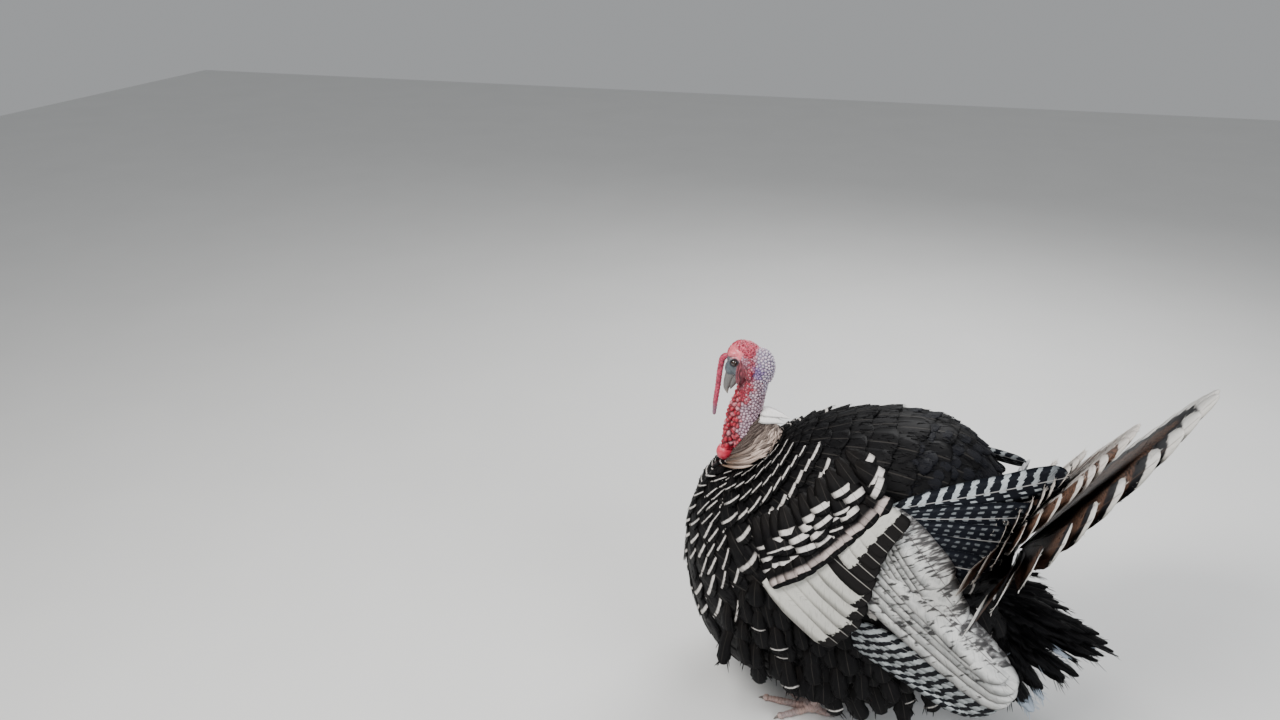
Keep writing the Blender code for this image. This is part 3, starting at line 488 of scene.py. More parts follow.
def stream(turn):
    """One line over the skin from neck to tail, as evenly spaced places, and its length."""
    to_neck = (NECK_ROOT - MIDDLE).normalized()
    to_tail = (TAIL_ROOT - MIDDLE).normalized()
    first = Vector((to_neck.z, 0, -to_neck.x))
    second = Vector((0, 1, 0))
    end = [to_tail.dot(axis) / (1 - to_tail.dot(to_neck)) for axis in (first, second)]
    places = []
    for t in np.linspace(0.02, 0.998, 220):
        far = 1.0 / math.tan(t * math.pi / 2)
        a, b = end[0] + far * math.cos(turn), end[1] + far * math.sin(turn)
        q = a * a + b * b
        ray = (to_neck * (q - 1) + first * (2 * a) + second * (2 * b)) / (q + 1)
        hit = CORE.ray_cast(MIDDLE, ray)[0]
        if hit and (hit - NECK_ROOT).length > NECK_RING and (hit - TAIL_ROOT).length > TAIL_RING:
            places.append(hit)
    places = np.array(places)
    gone = gone_along(places)
    even = np.linspace(0, gone[-1], STATIONS)
    return np.stack([np.interp(even, gone, places[:, k]) for k in range(3)], axis=1), gone[-1]


def all_streams():
    """The whole net of streams, with the first one repeated at the end so that it closes."""
    turns = np.linspace(0, 2 * math.pi, STREAMS, endpoint=False)
    made = [stream(turn) for turn in turns]
    net = np.array([line for line, _ in made] + [made[0][0]])
    lengths = np.array([length for _, length in made] + [made[0][1]])
    return net, lengths


NET, LENGTHS = all_streams()
NET_ALONG = np.gradient(NET, axis=1)
NET_ROUND = np.gradient(np.concatenate([NET[-2:-1], NET, NET[1:2]]), axis=0)[1:-1]
NET_OUT = unit(np.cross(NET_ROUND, NET_ALONG))
HALFWAY = (STREAMS // 2, STATIONS // 2)
if (NET_OUT[HALFWAY] * (NET[HALFWAY] - np.array(MIDDLE))).sum() < 0:
    NET_OUT = -NET_OUT


def read_net(net, turn, down):
    """Reads the net between its places; turn in radians, down from 0 at the neck to 1 at the tail."""
    a = (np.asarray(turn) / (2 * math.pi) % 1.0) * STREAMS
    b = np.clip(down, 0, 1) * (STATIONS - 1)
    i = np.minimum(a.astype(int), STREAMS - 1)
    j = np.minimum(b.astype(int), STATIONS - 2)
    u, v = (a - i)[..., None], (b - j)[..., None]
    near, far = [net[i, k] * (1 - u) + net[i + 1, k] * u for k in (j, j + 1)]
    return near * (1 - v) + far * v


print("streams:", STREAMS, "shortest", round(LENGTHS.min(), 3), "longest", round(LENGTHS.max(), 3))

# %% [markdown]
# The wings mirror each other, but the right one is held lower, so that the back hides it when the
# bird is seen from its left. One function lowers whatever is given to it: the arm in the skin, and
# later the feathers. It presses down what is high and shortens what reaches far back.

# %% The right wing's place
TUCK_ABOVE = 0.440
TUCK_SHARE = 0.42
TUCK_BEHIND = 0.120
TUCK_SHORTER = 0.22
TUCK_BLEND = 0.05


def tucked(grid):
    """Lowers and shortens the upper part of the right wing."""
    low = grid.copy()
    low[..., 2] -= TUCK_SHARE * np.maximum(low[..., 2] - TUCK_ABOVE, 0)
    high = np.clip((grid[..., 2] - TUCK_ABOVE) / TUCK_BLEND, 0, 1)
    low[..., 0] -= TUCK_SHORTER * np.maximum(low[..., 0] - TUCK_BEHIND, 0) * high
    return low


print("the right wing is tucked above", TUCK_ABOVE, "m")

# %% [markdown]
# The head gets most care, because it is what people look at. It starts as a handful of overlapping
# balls and tubes: skull, crown, brows, cheeks, ear patches, nape, neck, throat and the red bulb. A
# fine voxel remesh melts them into one skin, and a socket is cut for each eye.

# %% Mould the head and neck
NECK_PATH = (
    (-0.195, 0, 0.455), (-0.222, 0, 0.530), (-0.236, 0, 0.585), (-0.230, 0, 0.635), (-0.222, 0, 0.690),
)
NECK_RADII = (0.052, 0.036, 0.0285, 0.026, 0.026)
THROAT_PATH = (
    (-0.241, 0, 0.672), (-0.248, 0, 0.645), (-0.261, 0, 0.604), (-0.267, 0, 0.562), (-0.271, 0, 0.520),
)
THROAT_RADII = (0.011, 0.0105, 0.0118, 0.0125, 0.0125)
BULB = (-0.277, 0.0, 0.508)
BULB_RADIUS = 0.0172
BROW_CHEEK_EAR = (
    ((-0.264, 0.0135, 0.729), (0.0125, 0.0105, 0.0072), -14, 0.2),
    ((-0.249, 0.019, 0.690), (0.0105, 0.0095, 0.024), 4, 0.0),
    ((-0.233, 0.0215, 0.693), (0.009, 0.010, 0.013), 0, 0.0),
)
EYE_FOLDS = ((0.0068, 0.0012, 0.0013, 0.0), (0.0096, 0.0011, -0.0002, 0.0004))
EYE_TILT = 86
EYE_AHEAD = 17
SOCKET_SHARE = 0.97
HEAD_VOXEL = 0.00115
SIDES = (-1, 1)


def eye_fold(side, radius, thick, out, down):
    """One ring of skin round the eye."""
    deselect()
    place = (EYE.x, side * (abs(EYE.y) + out), EYE.z - down)
    turn = (math.radians(EYE_TILT), 0, math.radians(-side * EYE_AHEAD))
    bpy.ops.mesh.primitive_torus_add(
        major_radius=radius, minor_radius=thick, major_segments=40, minor_segments=12,
        location=place, rotation=turn,
    )
    bpy.ops.object.transform_apply(location=True, rotation=True, scale=True)
    return bpy.context.active_object


def head_parts():
    """Skull, crown, nape, beak's root, neck, throat and bulb, and then what there is on each side."""
    parts = [
        ball((-0.248, 0, 0.711), (0.040, 0.025, 0.031), math.radians(80)),
        ball((-0.244, 0, 0.728), (0.029, 0.0215, 0.0215), math.radians(8)),
        ball((-0.215, 0, 0.700), (0.027, 0.0245, 0.0385), 0),
        ball((-0.270, 0, 0.694), (0.013, 0.013, 0.017), math.radians(10)),
        tube(NECK_PATH, NECK_RADII, 30, 28, 1.0),
        tube(THROAT_PATH, THROAT_RADII, 24, 18, 1.1),
        ball(BULB, (BULB_RADIUS,) * 3),
    ]
    for (x, y, z), radii, pitch, yaw in BROW_CHEEK_EAR:
        parts += [ball((x, side * y, z), radii, math.radians(pitch), yaw=side * yaw) for side in SIDES]
    for fold in EYE_FOLDS:
        parts += [eye_fold(side, *fold) for side in SIDES]
    return parts


def mould_head():
    """Melts the parts together, smooths the joins and cuts the eye sockets."""
    head = melt(join(head_parts(), "skin_head"), HEAD_VOXEL, 3)
    for side in SIDES:
        socket = ball((EYE.x, side * abs(EYE.y), EYE.z), (EYE_RADIUS * SOCKET_SHARE,) * 3, 0, 32, 24)
        combine(head, socket, "DIFFERENCE")
    return head


head = mould_head()
print("head and neck:", len(head.data.vertices), "vertices")

# %% [markdown]
# Bare turkey skin changes from place to place. A list of places on the head says what grows there:
# colour, the painted shade of its creases, how wide its knobs are and how far they stand out. Every
# point of the skin blends the entries nearest to it, so colours and knobs run into one another.

# %% What grows where on the bare skin
# The second colour of each kind is painted shade, which darkens the creases between knobs and folds.
CROWN = ((0.60, 0.070, 0.120), (0.140, 0.004, 0.016), 0.005, 0.0008)
BROW = ((0.76, 0.165, 0.205), (0.50, 0.060, 0.090), 0.0045, 0.0002)
FACE = ((0.105, 0.135, 0.155), (0.026, 0.031, 0.039), 0.0024, 0.0003)
CHEEK = ((0.34, 0.075, 0.100), (0.050, 0.005, 0.010), 0.0035, 0.0004)
MAUVE = ((0.50, 0.300, 0.360), (0.130, 0.025, 0.050), 0.0042, 0.001)
BAND = ((0.45, 0.030, 0.062), (0.110, 0.003, 0.010), 0.0046, 0.0012)
EAR = ((0.34, 0.240, 0.430), (0.045, 0.020, 0.105), 0.0046, 0.0016)
NAPE = ((0.80, 0.730, 0.815), (0.060, 0.022, 0.100), 0.006, 0.0034)
NECK = ((0.60, 0.430, 0.510), (0.070, 0.020, 0.040), 0.0058, 0.0024)
BEADS = ((0.56, 0.020, 0.050), (0.070, 0.001, 0.004), 0.0098, 0.0042)
WATTLE = ((0.64, 0.045, 0.085), (0.360, 0.012, 0.026), 0.012, 0.0003)
# Skin under the feathers is near-black: painted shade, so it reads dark where it shows between them.
UNDER_COAT_SHADE = ((0.020, 0.017, 0.016), (0.014, 0.012, 0.011), 0.006, 0.0)
SKIN_PLACES = (
    (-0.262, 0, 0.748, CROWN), (-0.240, 0, 0.752, CROWN), (-0.226, 0.012, 0.744, CROWN),
    (-0.247, 0.017, 0.742, CROWN), (-0.278, 0, 0.730, CROWN), (-0.236, 0.022, 0.730, CROWN),
    (-0.272, 0.012, 0.736, BROW), (-0.262, 0.020, 0.732, BROW), (-0.252, 0.023, 0.729, BROW),
    (-0.244, 0.026, 0.724, MAUVE), (-0.238, 0.028, 0.714, MAUVE),
    (-0.274, 0.017, 0.711, FACE), (-0.262, 0.027, 0.714, FACE), (-0.265, 0.024, 0.702, FACE),
    (-0.270, 0.018, 0.694, FACE), (-0.264, 0.020, 0.686, FACE), (-0.281, 0.006, 0.704, FACE),
    (-0.250, 0.027, 0.713, CHEEK), (-0.250, 0.028, 0.700, CHEEK), (-0.251, 0.026, 0.684, CHEEK),
    (-0.254, 0.022, 0.668, CHEEK), (-0.231, 0.027, 0.728, BAND), (-0.229, 0.029, 0.713, BAND),
    (-0.228, 0.030, 0.697, BAND), (-0.229, 0.029, 0.680, BAND), (-0.233, 0.027, 0.664, BAND),
    (-0.241, 0.026, 0.648, BAND), (-0.240, 0.029, 0.699, CHEEK), (-0.241, 0.028, 0.684, CHEEK),
    (-0.218, 0.031, 0.707, EAR), (-0.219, 0.031, 0.692, EAR), (-0.212, 0.030, 0.699, EAR),
    (-0.213, 0.016, 0.738, NAPE), (-0.198, 0, 0.730, NAPE), (-0.187, 0.010, 0.708, NAPE),
    (-0.186, 0, 0.685, NAPE), (-0.205, 0.026, 0.716, NAPE), (-0.205, 0.028, 0.690, NAPE),
    (-0.192, 0.012, 0.664, NAPE), (-0.219, 0.028, 0.722, NAPE), (-0.214, 0.028, 0.672, NECK),
    (-0.197, 0.012, 0.640, NECK), (-0.222, 0.028, 0.650, NECK), (-0.214, 0.027, 0.625, NECK),
    (-0.205, 0.012, 0.605, NECK), (-0.226, 0.030, 0.600, NECK), (-0.218, 0.032, 0.572, NECK),
    (-0.196, 0.012, 0.570, NECK), (-0.225, 0.036, 0.545, NECK), (-0.190, 0.030, 0.545, NECK),
    (-0.262, 0, 0.650, BEADS), (-0.254, 0.015, 0.632, BEADS), (-0.270, 0, 0.620, BEADS),
    (-0.262, 0.016, 0.608, BEADS), (-0.279, 0, 0.590, BEADS), (-0.265, 0.019, 0.580, BEADS),
    (-0.282, 0, 0.560, BEADS), (-0.267, 0.021, 0.552, BEADS), (-0.280, 0, 0.535, BEADS),
    (-0.250, 0.026, 0.622, BEADS), (-0.252, 0.028, 0.592, BEADS), (-0.250, 0.032, 0.560, BEADS),
    (-0.239, 0.028, 0.618, NECK), (-0.238, 0.030, 0.590, NECK), (-0.238, 0.032, 0.565, NECK),
    (-0.277, 0, 0.490, WATTLE), (-0.292, 0, 0.508, WATTLE), (-0.277, 0.016, 0.508, WATTLE),
    (-0.230, 0, 0.440, UNDER_COAT_SHADE), (-0.180, 0.060, 0.470, UNDER_COAT_SHADE), (-0.120, 0, 0.520, UNDER_COAT_SHADE),
    (-0.240, 0.070, 0.460, UNDER_COAT_SHADE), (-0.160, 0.030, 0.530, UNDER_COAT_SHADE), (-0.272, 0, 0.478, UNDER_COAT_SHADE),
    (-0.268, 0.020, 0.478, UNDER_COAT_SHADE), (-0.285, 0, 0.470, UNDER_COAT_SHADE),
)
SKIN_SHARPNESS = 7.0
NEAREST_SPOT = 0.0012
SEARCH_CELL = 0.004
KNOB_SPACING = 0.86


def spot_weights(places):
    """How much each entry of the list counts at each point. Both sides of the head share the list."""
    spots = np.array([row[:3] for row in SKIN_PLACES])
    folded = np.stack([places[:, 0], np.abs(places[:, 1]), places[:, 2]], axis=1)
    apart = np.linalg.norm(folded[:, None, :] - spots[None, :, :], axis=2)
    return np.maximum(apart, NEAREST_SPOT) ** -SKIN_SHARPNESS


def skin_at(places):
    """Blends the list for many points: colour, painted crease shade, knob width and knob height."""
    kinds = np.array([row[3][0] + row[3][1] + row[3][2:] for row in SKIN_PLACES])
    weight = spot_weights(places)
    blend = weight @ kinds / weight.sum(axis=1)[:, None]
    return blend[:, 0:3], blend[:, 3:6], blend[:, 6], blend[:, 7]


def share_of(kinds, places):
    """How much of some kinds of skin there is at each point, from 0 to 1."""
    chosen = np.array([any(row[3] is kind for kind in kinds) for row in SKIN_PLACES], float)
    weight = spot_weights(places)
    return weight @ chosen / weight.sum(axis=1)


def sow(places, widths):
    """Picks knob middles so that each keeps its own width clear round it."""
    grid, chosen = {}, []
    for i in RNG.permutation(len(places)):
        p, gap = places[i], widths[i] * KNOB_SPACING
        key = tuple((p // SEARCH_CELL).astype(int))
        reach = int(gap / SEARCH_CELL) + 1
        steps = range(-reach, reach + 1)
        cells = [(key[0] + a, key[1] + b, key[2] + c) for a in steps for b in steps for c in steps]
        near = [q for cell in cells for q in grid.get(cell, ())]
        if all((p[0] - q[0]) ** 2 + (p[1] - q[1]) ** 2 + (p[2] - q[2]) ** 2 > gap * gap for q in near):
            grid.setdefault(key, []).append(p)
            chosen.append(i)
    return np.array(chosen)


def tree_of(spots):
    """A tree that finds the nearest of many places."""
    tree = KDTree(len(spots))
    for number, spot in enumerate(spots):
        tree.insert(spot, number)
    tree.balance()
    return tree


def knobs(places, seeds, widths):
    """Height of the knob at each point, from 0 in a crease to 1 on top, and the knob's number."""
    tree = tree_of(seeds)
    height, owner = np.zeros(len(places)), np.zeros(len(places), int)
    for i, place in enumerate(places):
        (_, first, near), (_, _, far) = tree.find_n(place, 2)
        edge = (far - near) / widths[i]
        height[i] = min(edge * 1.9, 1.0) ** 0.6 * max(1.18 - near / widths[i] * 0.95, 0)
        owner[i] = first
    return height, owner


def from_eye(places):
    """How far each point is from the middle of the eye on its side, along each axis."""
    x, y, z = places.T
    return np.stack([x - EYE.x, np.abs(y) - abs(EYE.y), z - EYE.z], axis=1)


def folds(places):
    """Fine folds: brain-like on the crown, upright and uneven on the cheek."""
    brain = np.array([1 - 2.8 * abs(noise.noise(Vector(p) * 245.0)) for p in places])
    swing = np.array([noise.noise(Vector((p[0] * 150, p[1] * 150, p[2] * 60))) for p in places])
    upright = np.sin(1050 * places[:, 0] + 5.5 * swing) * (0.65 + swing)
    return brain, upright


places, outward = points_of(head), points_of(head, "normal")
_, _, knob_width, knob_height = skin_at(places)
SEEDS = places[sow(places, knob_width)]
on_knob, _ = knobs(places, SEEDS, knob_width)
brain, upright = folds(places)
crown_share, cheek_share = share_of((CROWN,), places), share_of((CHEEK, BAND), places)
relief = on_knob * knob_height + brain * crown_share * 0.0017 + upright * cheek_share * 0.0008
near_eye = np.linalg.norm(from_eye(places), axis=1)
relief = relief * np.clip((near_eye - 0.0075) / 0.003, 0, 1)
move_points(head, places + outward * (relief - knob_height * 0.35)[:, None])
print("knobs on the bare skin:", len(SEEDS))

# %% [markdown]
# One skin: the body, wing arms, thighs and vent are melted together more coarsely, because feathers
# hide them, and the detailed head and neck are joined on. Its colours are painted on every point.

# %% Join everything into one skin
ARM_LINE = ((-0.132, -0.222, 0.382), (-0.027, -0.213, 0.452), (0.078, -0.205, 0.522))
ARM_RADII = (0.022, 0.050, 0.026)
HAND_LINE = ((-0.118, -0.207, 0.350), (-0.055, -0.207, 0.318), (0.010, -0.205, 0.285))
HAND_RADII = (0.012, 0.034, 0.012)
KNEES = ((-0.030, -0.095, 0.215), (-0.010, 0.095, 0.215))
HOCKS = ((-0.012, -0.112, 0.118), (0.035, 0.108, 0.118))
THIGH_RADII = (0.036, 0.052, 0.046, 0.030, 0.0145)
ARM_FLAT = 0.42
BODY_VOXEL = 0.007
SKIN_NODES = ("torso", "neck", "throat_bulb", "head", "thigh_left", "thigh_right")
BARE_FRONT = -0.14
BARE_LOW = 0.44
LID_COLOUR = np.array([0.56, 0.38, 0.42])
SOCKET_SHADE = np.array([0.020, 0.021, 0.026])
# Pale knob tops: their own colour on nape and neck, a painted highlight on the red beads.
PALE_KNOB_AND_HIGHLIGHT = np.array([0.80, 0.58, 0.66])


def mirror_line(line, side):
    """A line of the left side, or the same line on the right side."""
    return [(x, y * -side, z) for x, y, z in line]


def flesh_parts():
    """The rest of the bird's flesh, nearly all of it under feathers."""
    vent = ball((0.235, 0, 0.275), (0.055, 0.078, 0.042), math.radians(12))
    tail_root = ball((0.262, 0, 0.392), (0.040, 0.034, 0.034), math.radians(-53))
    parts = [vent, tail_root]
    for side in SIDES:
        knee, hock = [Vector(place) for place in (KNEES[side > 0], HOCKS[side > 0])]
        top = knee + Vector((0.0, -0.010 * side, 0.070))
        thigh = [top, knee.lerp(top, 0.4), knee, knee.lerp(hock, 0.5), hock]
        parts.append(tube([list(place) for place in thigh], THIGH_RADII, 20, 20))
        arm = np.array(mirror_line(ARM_LINE, side))
        parts.append(tube((tucked(arm) if side > 0 else arm).tolist(), ARM_RADII, 20, 20, ARM_FLAT))
        parts.append(tube(mirror_line(HAND_LINE, side), HAND_RADII, 16, 20, ARM_FLAT))
    return parts


def knob_colours(places):
    """Colours at each point. A knob is of one colour, so where two kinds of skin meet they mingle."""
    width = skin_at(places)[2]
    height, owner = knobs(places, SEEDS, width)
    draw = np.random.default_rng(11)
    tone, shift = draw.random(len(SEEDS)), draw.normal(0, 0.003, (len(SEEDS), 3))
    lumpy = np.clip(skin_at(places)[3] / 0.0012, 0, 1)[:, None]
    top, crease_shade, _, _ = skin_at(places * (1 - lumpy) + (SEEDS + shift)[owner] * lumpy)
    return top, crease_shade, height, tone[owner]


def paint_lids(places, colour):
    """A ring of painted shade round each eye, in its socket, and the pale edge of the upper lid above it.
    """
    away = from_eye(places)
    far, above = np.linalg.norm(away, axis=1), away[:, 2]
    dark = np.clip((0.0096 - far) / 0.0012, 0, 1)[:, None]
    lid = np.clip(1 - np.abs(far - 0.011) / 0.0012, 0, 1) * np.clip(above / 0.004, 0, 1)
    # Painted shade: the skin close round the eye is darkened.
    colour = colour * (1 - dark) + SOCKET_SHADE * dark
    return colour * (1 - lid[:, None]) + LID_COLOUR * lid[:, None]


def paint_skin(skin):
    """Writes each point's colour."""
    places = points_of(skin)
    top, crease_shade, height, tone = knob_colours(places)
    smooth = share_of((BROW, FACE, WATTLE), places)
    brain, upright = folds(places)
    crown, cheek = share_of((CROWN,), places), share_of((CHEEK,), places)
    level = height * (1 - crown) * (1 - cheek)
    level = level + crown * np.clip(0.45 + brain * 0.65, 0, 1) + cheek * (0.5 + 0.5 * upright)
    level = np.clip(level * (1 - smooth * 0.7) + smooth * 0.7, 0, 1)[:, None]
    # Painted shade: creases and fold hollows take the dark second colour, knob and fold tops the first.
    colour = crease_shade + (top - crease_shade) * level**1.5
    # Some knobs turn pale towards their tops: on the nape, neck and band this is their own pale colour, on
    # the red beads a painted highlight.
    pale_and_highlight = share_of((NAPE, NECK, BAND, BEADS), places) * np.clip(tone * 2.2 - 1.3, 0, 1) * 0.5
    colour = colour * (1 - pale_and_highlight[:, None]) + PALE_KNOB_AND_HIGHLIGHT * pale_and_highlight[:, None] * level
    colour = paint_lids(places, colour * (0.82 + 0.34 * tone[:, None]))
    # Painted shade: all skin that the feathers cover is painted near-black.
    colour[(places[:, 0] > BARE_FRONT) | (places[:, 2] < BARE_LOW)] = UNDER_COAT_SHADE[0]
    colour = np.concatenate([colour, np.ones((len(colour), 1))], axis=1)
    made = skin.data.attributes.new("flesh", "FLOAT_COLOR", "POINT")
    made.data.foreach_set("color", colour.astype(np.float32).ravel())


def skin_finish():
    """Living skin: a little light passes through it, and the red parts shine."""
    f = Finish("bare_skin", 0.42, Subsurface_Weight=0.06, Subsurface_Scale=0.002, Coat_Roughness=0.28)
    at = f.place()
    colour = f.attribute("flesh", "Color")
    redness = f.node("ShaderNodeSeparateColor", {}, {0: colour})
    fine = f.noise(at, 900.0, 3.0)
    shaded = f.mix(colour, f.mix(colour, (0.02, 0.004, 0.008), 0.5), fine.step(0.48, 0.72) * 0.35)
    shine = redness.step(0.25, 0.6) * 0.35
    return f.use(Base_Color=shaded, Coat_Weight=shine, Normal=f.bump(fine, 0.0004, 0.8))


skin = melt(join([core] + flesh_parts(), "skin"), BODY_VOXEL, 4)
combine(skin, head, "UNION")
paint_skin(skin)
finish_piece(skin, "skin", skin_finish(), SKIN_NODES)

# %% [markdown]
# A feather here is one thin closed blade. Each station along it has six points: both edges, two
# points half way in, the shaft on the upper face and one point below. That is enough to cup it, roll
# it and give it a ragged edge, and many thousand points go into one mesh quickly as arrays. Every
# point also knows how far along and across its feather it is, and that is what the patterns read.

# %% Feathers as arrays
ACROSS = np.array([-1.0, -0.5, 0.0, 0.5, 1.0, 0.0])
TUFT_PATCH = 0.003
STRAND_RING = np.array([-1.0, 0.0, 1.0, 0.0])
STRAND_STATIONS = np.array([0, 0.4, 0.75, 1.0])
STRAND_WIDTH = 0.0009
STRAND_TAPER = np.array([1.0, 0.9, 0.6, 0.15])
STRAND_RIDGE = np.array([0, 0.35, 0, -0.45])
FRINGE_END = 0.985
BODY_SHAPE = (
    (0, 0.30), (0.3, 0.76), (0.6, 0.98), (0.78, 1.0), (0.88, 0.90), (0.95, 0.66), (0.985, 0.40), (1, 0.12),
)
BODY_STATIONS = np.array([0, 0.16, 0.32, 0.47, 0.6, 0.71, 0.8, 0.88, 0.94, 0.98, 1.0])
LONG_SHAPE = ((0, 0.30), (0.12, 0.62), (0.4, 0.90), (0.8, 1.0), (0.93, 0.90), (0.98, 0.62), (1, 0.20))
LONG_STATIONS = np.array([
    0, 0.08, 0.17, 0.27, 0.37, 0.47, 0.57, 0.66, 0.74, 0.81, 0.87, 0.92, 0.96, 0.985, 1.0,
])
POINTED_SHAPE = ((0, 0.40), (0.2, 0.80), (0.5, 1.0), (0.75, 0.82), (0.92, 0.45), (1, 0.05))
EDGE_OF_POINT = [0, 0, 0, 1, 1, 0]
ROW_CUP = 0.003
ROW_ROLL = 0.0012
ROW_FRAY = 0.06
ROW_THICKNESS = np.array([0, 0, 0, 0, 0, 0.0007])
QUILL_RIDGE = np.array([0, 0, -0.0003, 0, 0, 0.0005])


def widths(shape, stations):
    """How wide a feather is at each station, as a share of its full width."""
    knots = np.array(shape)
    return np.interp(stations, knots[:, 0], knots[:, 1])


def strand_faces(stations):
    """The faces of one four-sided strand, all turned outwards."""
    faces = [(3, 2, 1, 0)]
    for a in range(0, (stations - 1) * 4, 4):
        faces += [(a + k, a + (k + 1) % 4, a + 4 + (k + 1) % 4, a + 4 + k) for k in range(4)]
    end = (stations - 1) * 4
    return np.array(faces + [(end, end + 1, end + 2, end + 3)])


def blade_faces(stations):
    """The faces of one blade, all turned outwards."""
    faces = []
    for a in range(0, (stations - 1) * 6, 6):
        b = a + 6
        faces += [(a + k, a + k + 1, b + k + 1, b + k) for k in range(4)]
        faces += [(a + 4, a + 5, b + 5, b + 4), (a + 5, a, b, b + 5)]
    end = (stations - 1) * 6
    faces += [(5, 2, 1, 0), (4, 3, 2, 5)]
    faces += [(end, end + 1, end + 2, end + 5), (end + 5, end + 2, end + 3, end + 4)]
    return np.array(faces)


def spread(line, across, face, aside, rise):
    """Points round each station of a line: so far aside along across, and so high along face."""
    flat = line[:, :, None, :] + across[:, :, None, :] * aside[..., None]
    return flat + face[:, :, None, :] * rise[..., None]


class Coat:
    """Collects the feathers of one part of the plumage and makes one mesh of them."""

    def __init__(self):
        self.places, self.faces, self.vanes, self.bakes = [], [], [], []
        self.tones, self.bars, self.count, self.feathers = [], [], 0, 0

    def put(self, grid, template, vane, tone, bar, patches, patch_size):
        """Adds shapes that share one template; their points come as (shape, station, ring, xyz)."""
        many, long, ring = grid.shape[:3]
        offsets = self.count + np.arange(many) * long * ring
        self.faces.append((template[None] + offsets[:, None, None]).reshape(-1, 4))
        self.vanes.append(vane.reshape(-1, 2))
        bake = patches[:, None, None, :] + (vane - 0.5) * np.array(patch_size)
        self.bakes.append(bake.reshape(-1, 2))
        self.places.append(grid.reshape(-1, 3))
        self.tones.append(np.repeat(tone, long * ring))
        self.bars.append(np.repeat(bar, long * ring))
        self.count += many * long * ring

    def add(self, grid, stations, tone, bar, patches, patch_size=(TUFT_PATCH, TUFT_PATCH), flip=False):
        """Adds feathers; flip swaps the two vanes, for the bird's other side."""
        many, long = grid.shape[:2]
        u = np.broadcast_to((ACROSS * (-1 if flip else 1) + 1) / 2, (many, long, 6))
        v = np.broadcast_to(stations[None, :, None], (many, long, 6))
        self.put(grid, blade_faces(long), np.stack([u, v], axis=3), tone, bar, patches, patch_size)
        self.feathers += many

    def add_strands(self, grid, vane, tone, bar, patches):
        """Adds loose barbs, which take their colour from the feather that they belong to."""
        self.put(grid, strand_faces(grid.shape[1]), vane, tone, bar, patches, (TUFT_PATCH, TUFT_PATCH))

    def fringe(self, grid, each, width, length, bar, patches, first=0.35):
        """Loose barbs along both edges of quill feathers, each a thin strand past the vane."""
        many, long = grid.shape[:2]
        own = np.repeat(np.arange(many), each)
        total = len(own)
        at = first + (FRINGE_END - first) * RNG.random(total) ** 0.8
        side = np.where(RNG.random(total) < 0.5, -1.0, 1.0) * (0.35 + 0.6 * RNG.random(total))
        k = np.clip(np.searchsorted(LONG_STATIONS, at) - 1, 0, long - 2)
        t = ((at - LONG_STATIONS[k]) / (LONG_STATIONS[k + 1] - LONG_STATIONS[k]))[:, None]
        left, shaft, right = [grid[own, k, p] * (1 - t) + grid[own, k + 1, p] * t for p in (0, 2, 4)]
        edge = np.where((side < 0)[:, None], left, right)
        ahead = unit(grid[own, k + 1, 2] - grid[own, k, 2])
        aside = edge - shaft
        aside /= np.maximum(np.linalg.norm(aside, axis=1), 1e-5)[:, None]
        face = np.cross(ahead, aside)
        root = shaft + (edge - shaft) * np.abs(side)[:, None]
        way = ahead + aside * (0.25 + 0.45 * RNG.random(total))[:, None]
        way = unit(way + face * RNG.normal(0, 0.16, total)[:, None])
        reach = length * (0.6 + 0.8 * RNG.random(total))
        line = root[:, None, :] + way[:, None, :] * (reach[:, None] * STRAND_STATIONS)[..., None]
        across = np.cross(way, face)
        thin = (width * STRAND_TAPER)[:, None]
        ring, ridge = (thin * STRAND_RING)[None], (thin * STRAND_RIDGE)[None]
        shape = spread(line, across[:, None, :], face[:, None, :], ring, ridge)
        u = np.broadcast_to((side / 2 + 0.5)[:, None, None], (total, 4, 4))
        v = np.broadcast_to(np.minimum(at[:, None, None] + 0.05, 0.999), (total, 4, 4))
        tone, bar = RNG.random(many)[own], np.broadcast_to(bar, (many,))[own]
        self.add_strands(shape, np.stack([u, v], axis=3), tone, bar, patches[own])

    def build(self, name, material, slot, nodes=()):
        """Turns what was collected into one piece."""
        places, faces = np.concatenate(self.places), np.concatenate(self.faces)
        mesh = bpy.data.meshes.new(name)
        mesh.vertices.add(len(places))
        mesh.vertices.foreach_set("co", places.astype(np.float32).ravel())
        mesh.loops.add(faces.size)
        mesh.loops.foreach_set("vertex_index", faces.astype(np.int32).ravel())
        mesh.polygons.add(len(faces))
        mesh.polygons.foreach_set("loop_start", np.arange(0, faces.size, 4, dtype=np.int32))
        mesh.update(calc_edges=True)
        for layer, spots in (("vane", self.vanes), ("OFBake", self.bakes)):
            uv = mesh.uv_layers.new(name=layer)
            uv.data.foreach_set("uv", np.concatenate(spots)[faces.ravel()].astype(np.float32).ravel())
        for layer, numbers in (("tone", self.tones), ("bar", self.bars)):
            made = mesh.attributes.new(layer, "FLOAT", "POINT")
            made.data.foreach_set("value", np.concatenate(numbers).astype(np.float32))
        obj = bpy.data.objects.new(name, mesh)
        bpy.context.scene.collection.objects.link(obj)
        print(name, self.feathers, "feathers,", len(faces) * 2, "triangles")
        finish_piece(obj, name, material, nodes)


def ragged(many, stations, shape, fray):
    """Widths of many feathers at the points of their stations, each edge a little ragged."""
    base = widths(shape, stations)[None, :, None] * np.ones((many, 1, 2))
    edges = base * (1 - fray * RNG.random((many, len(stations), 2)))
    return np.take(edges, EDGE_OF_POINT, axis=2)


def mirrored(grid):
    """The same feathers on the other side, still facing outwards."""
    other = grid[:, :, [4, 3, 2, 1, 0, 5], :].copy()
    other[..., 1] *= -1
    return other


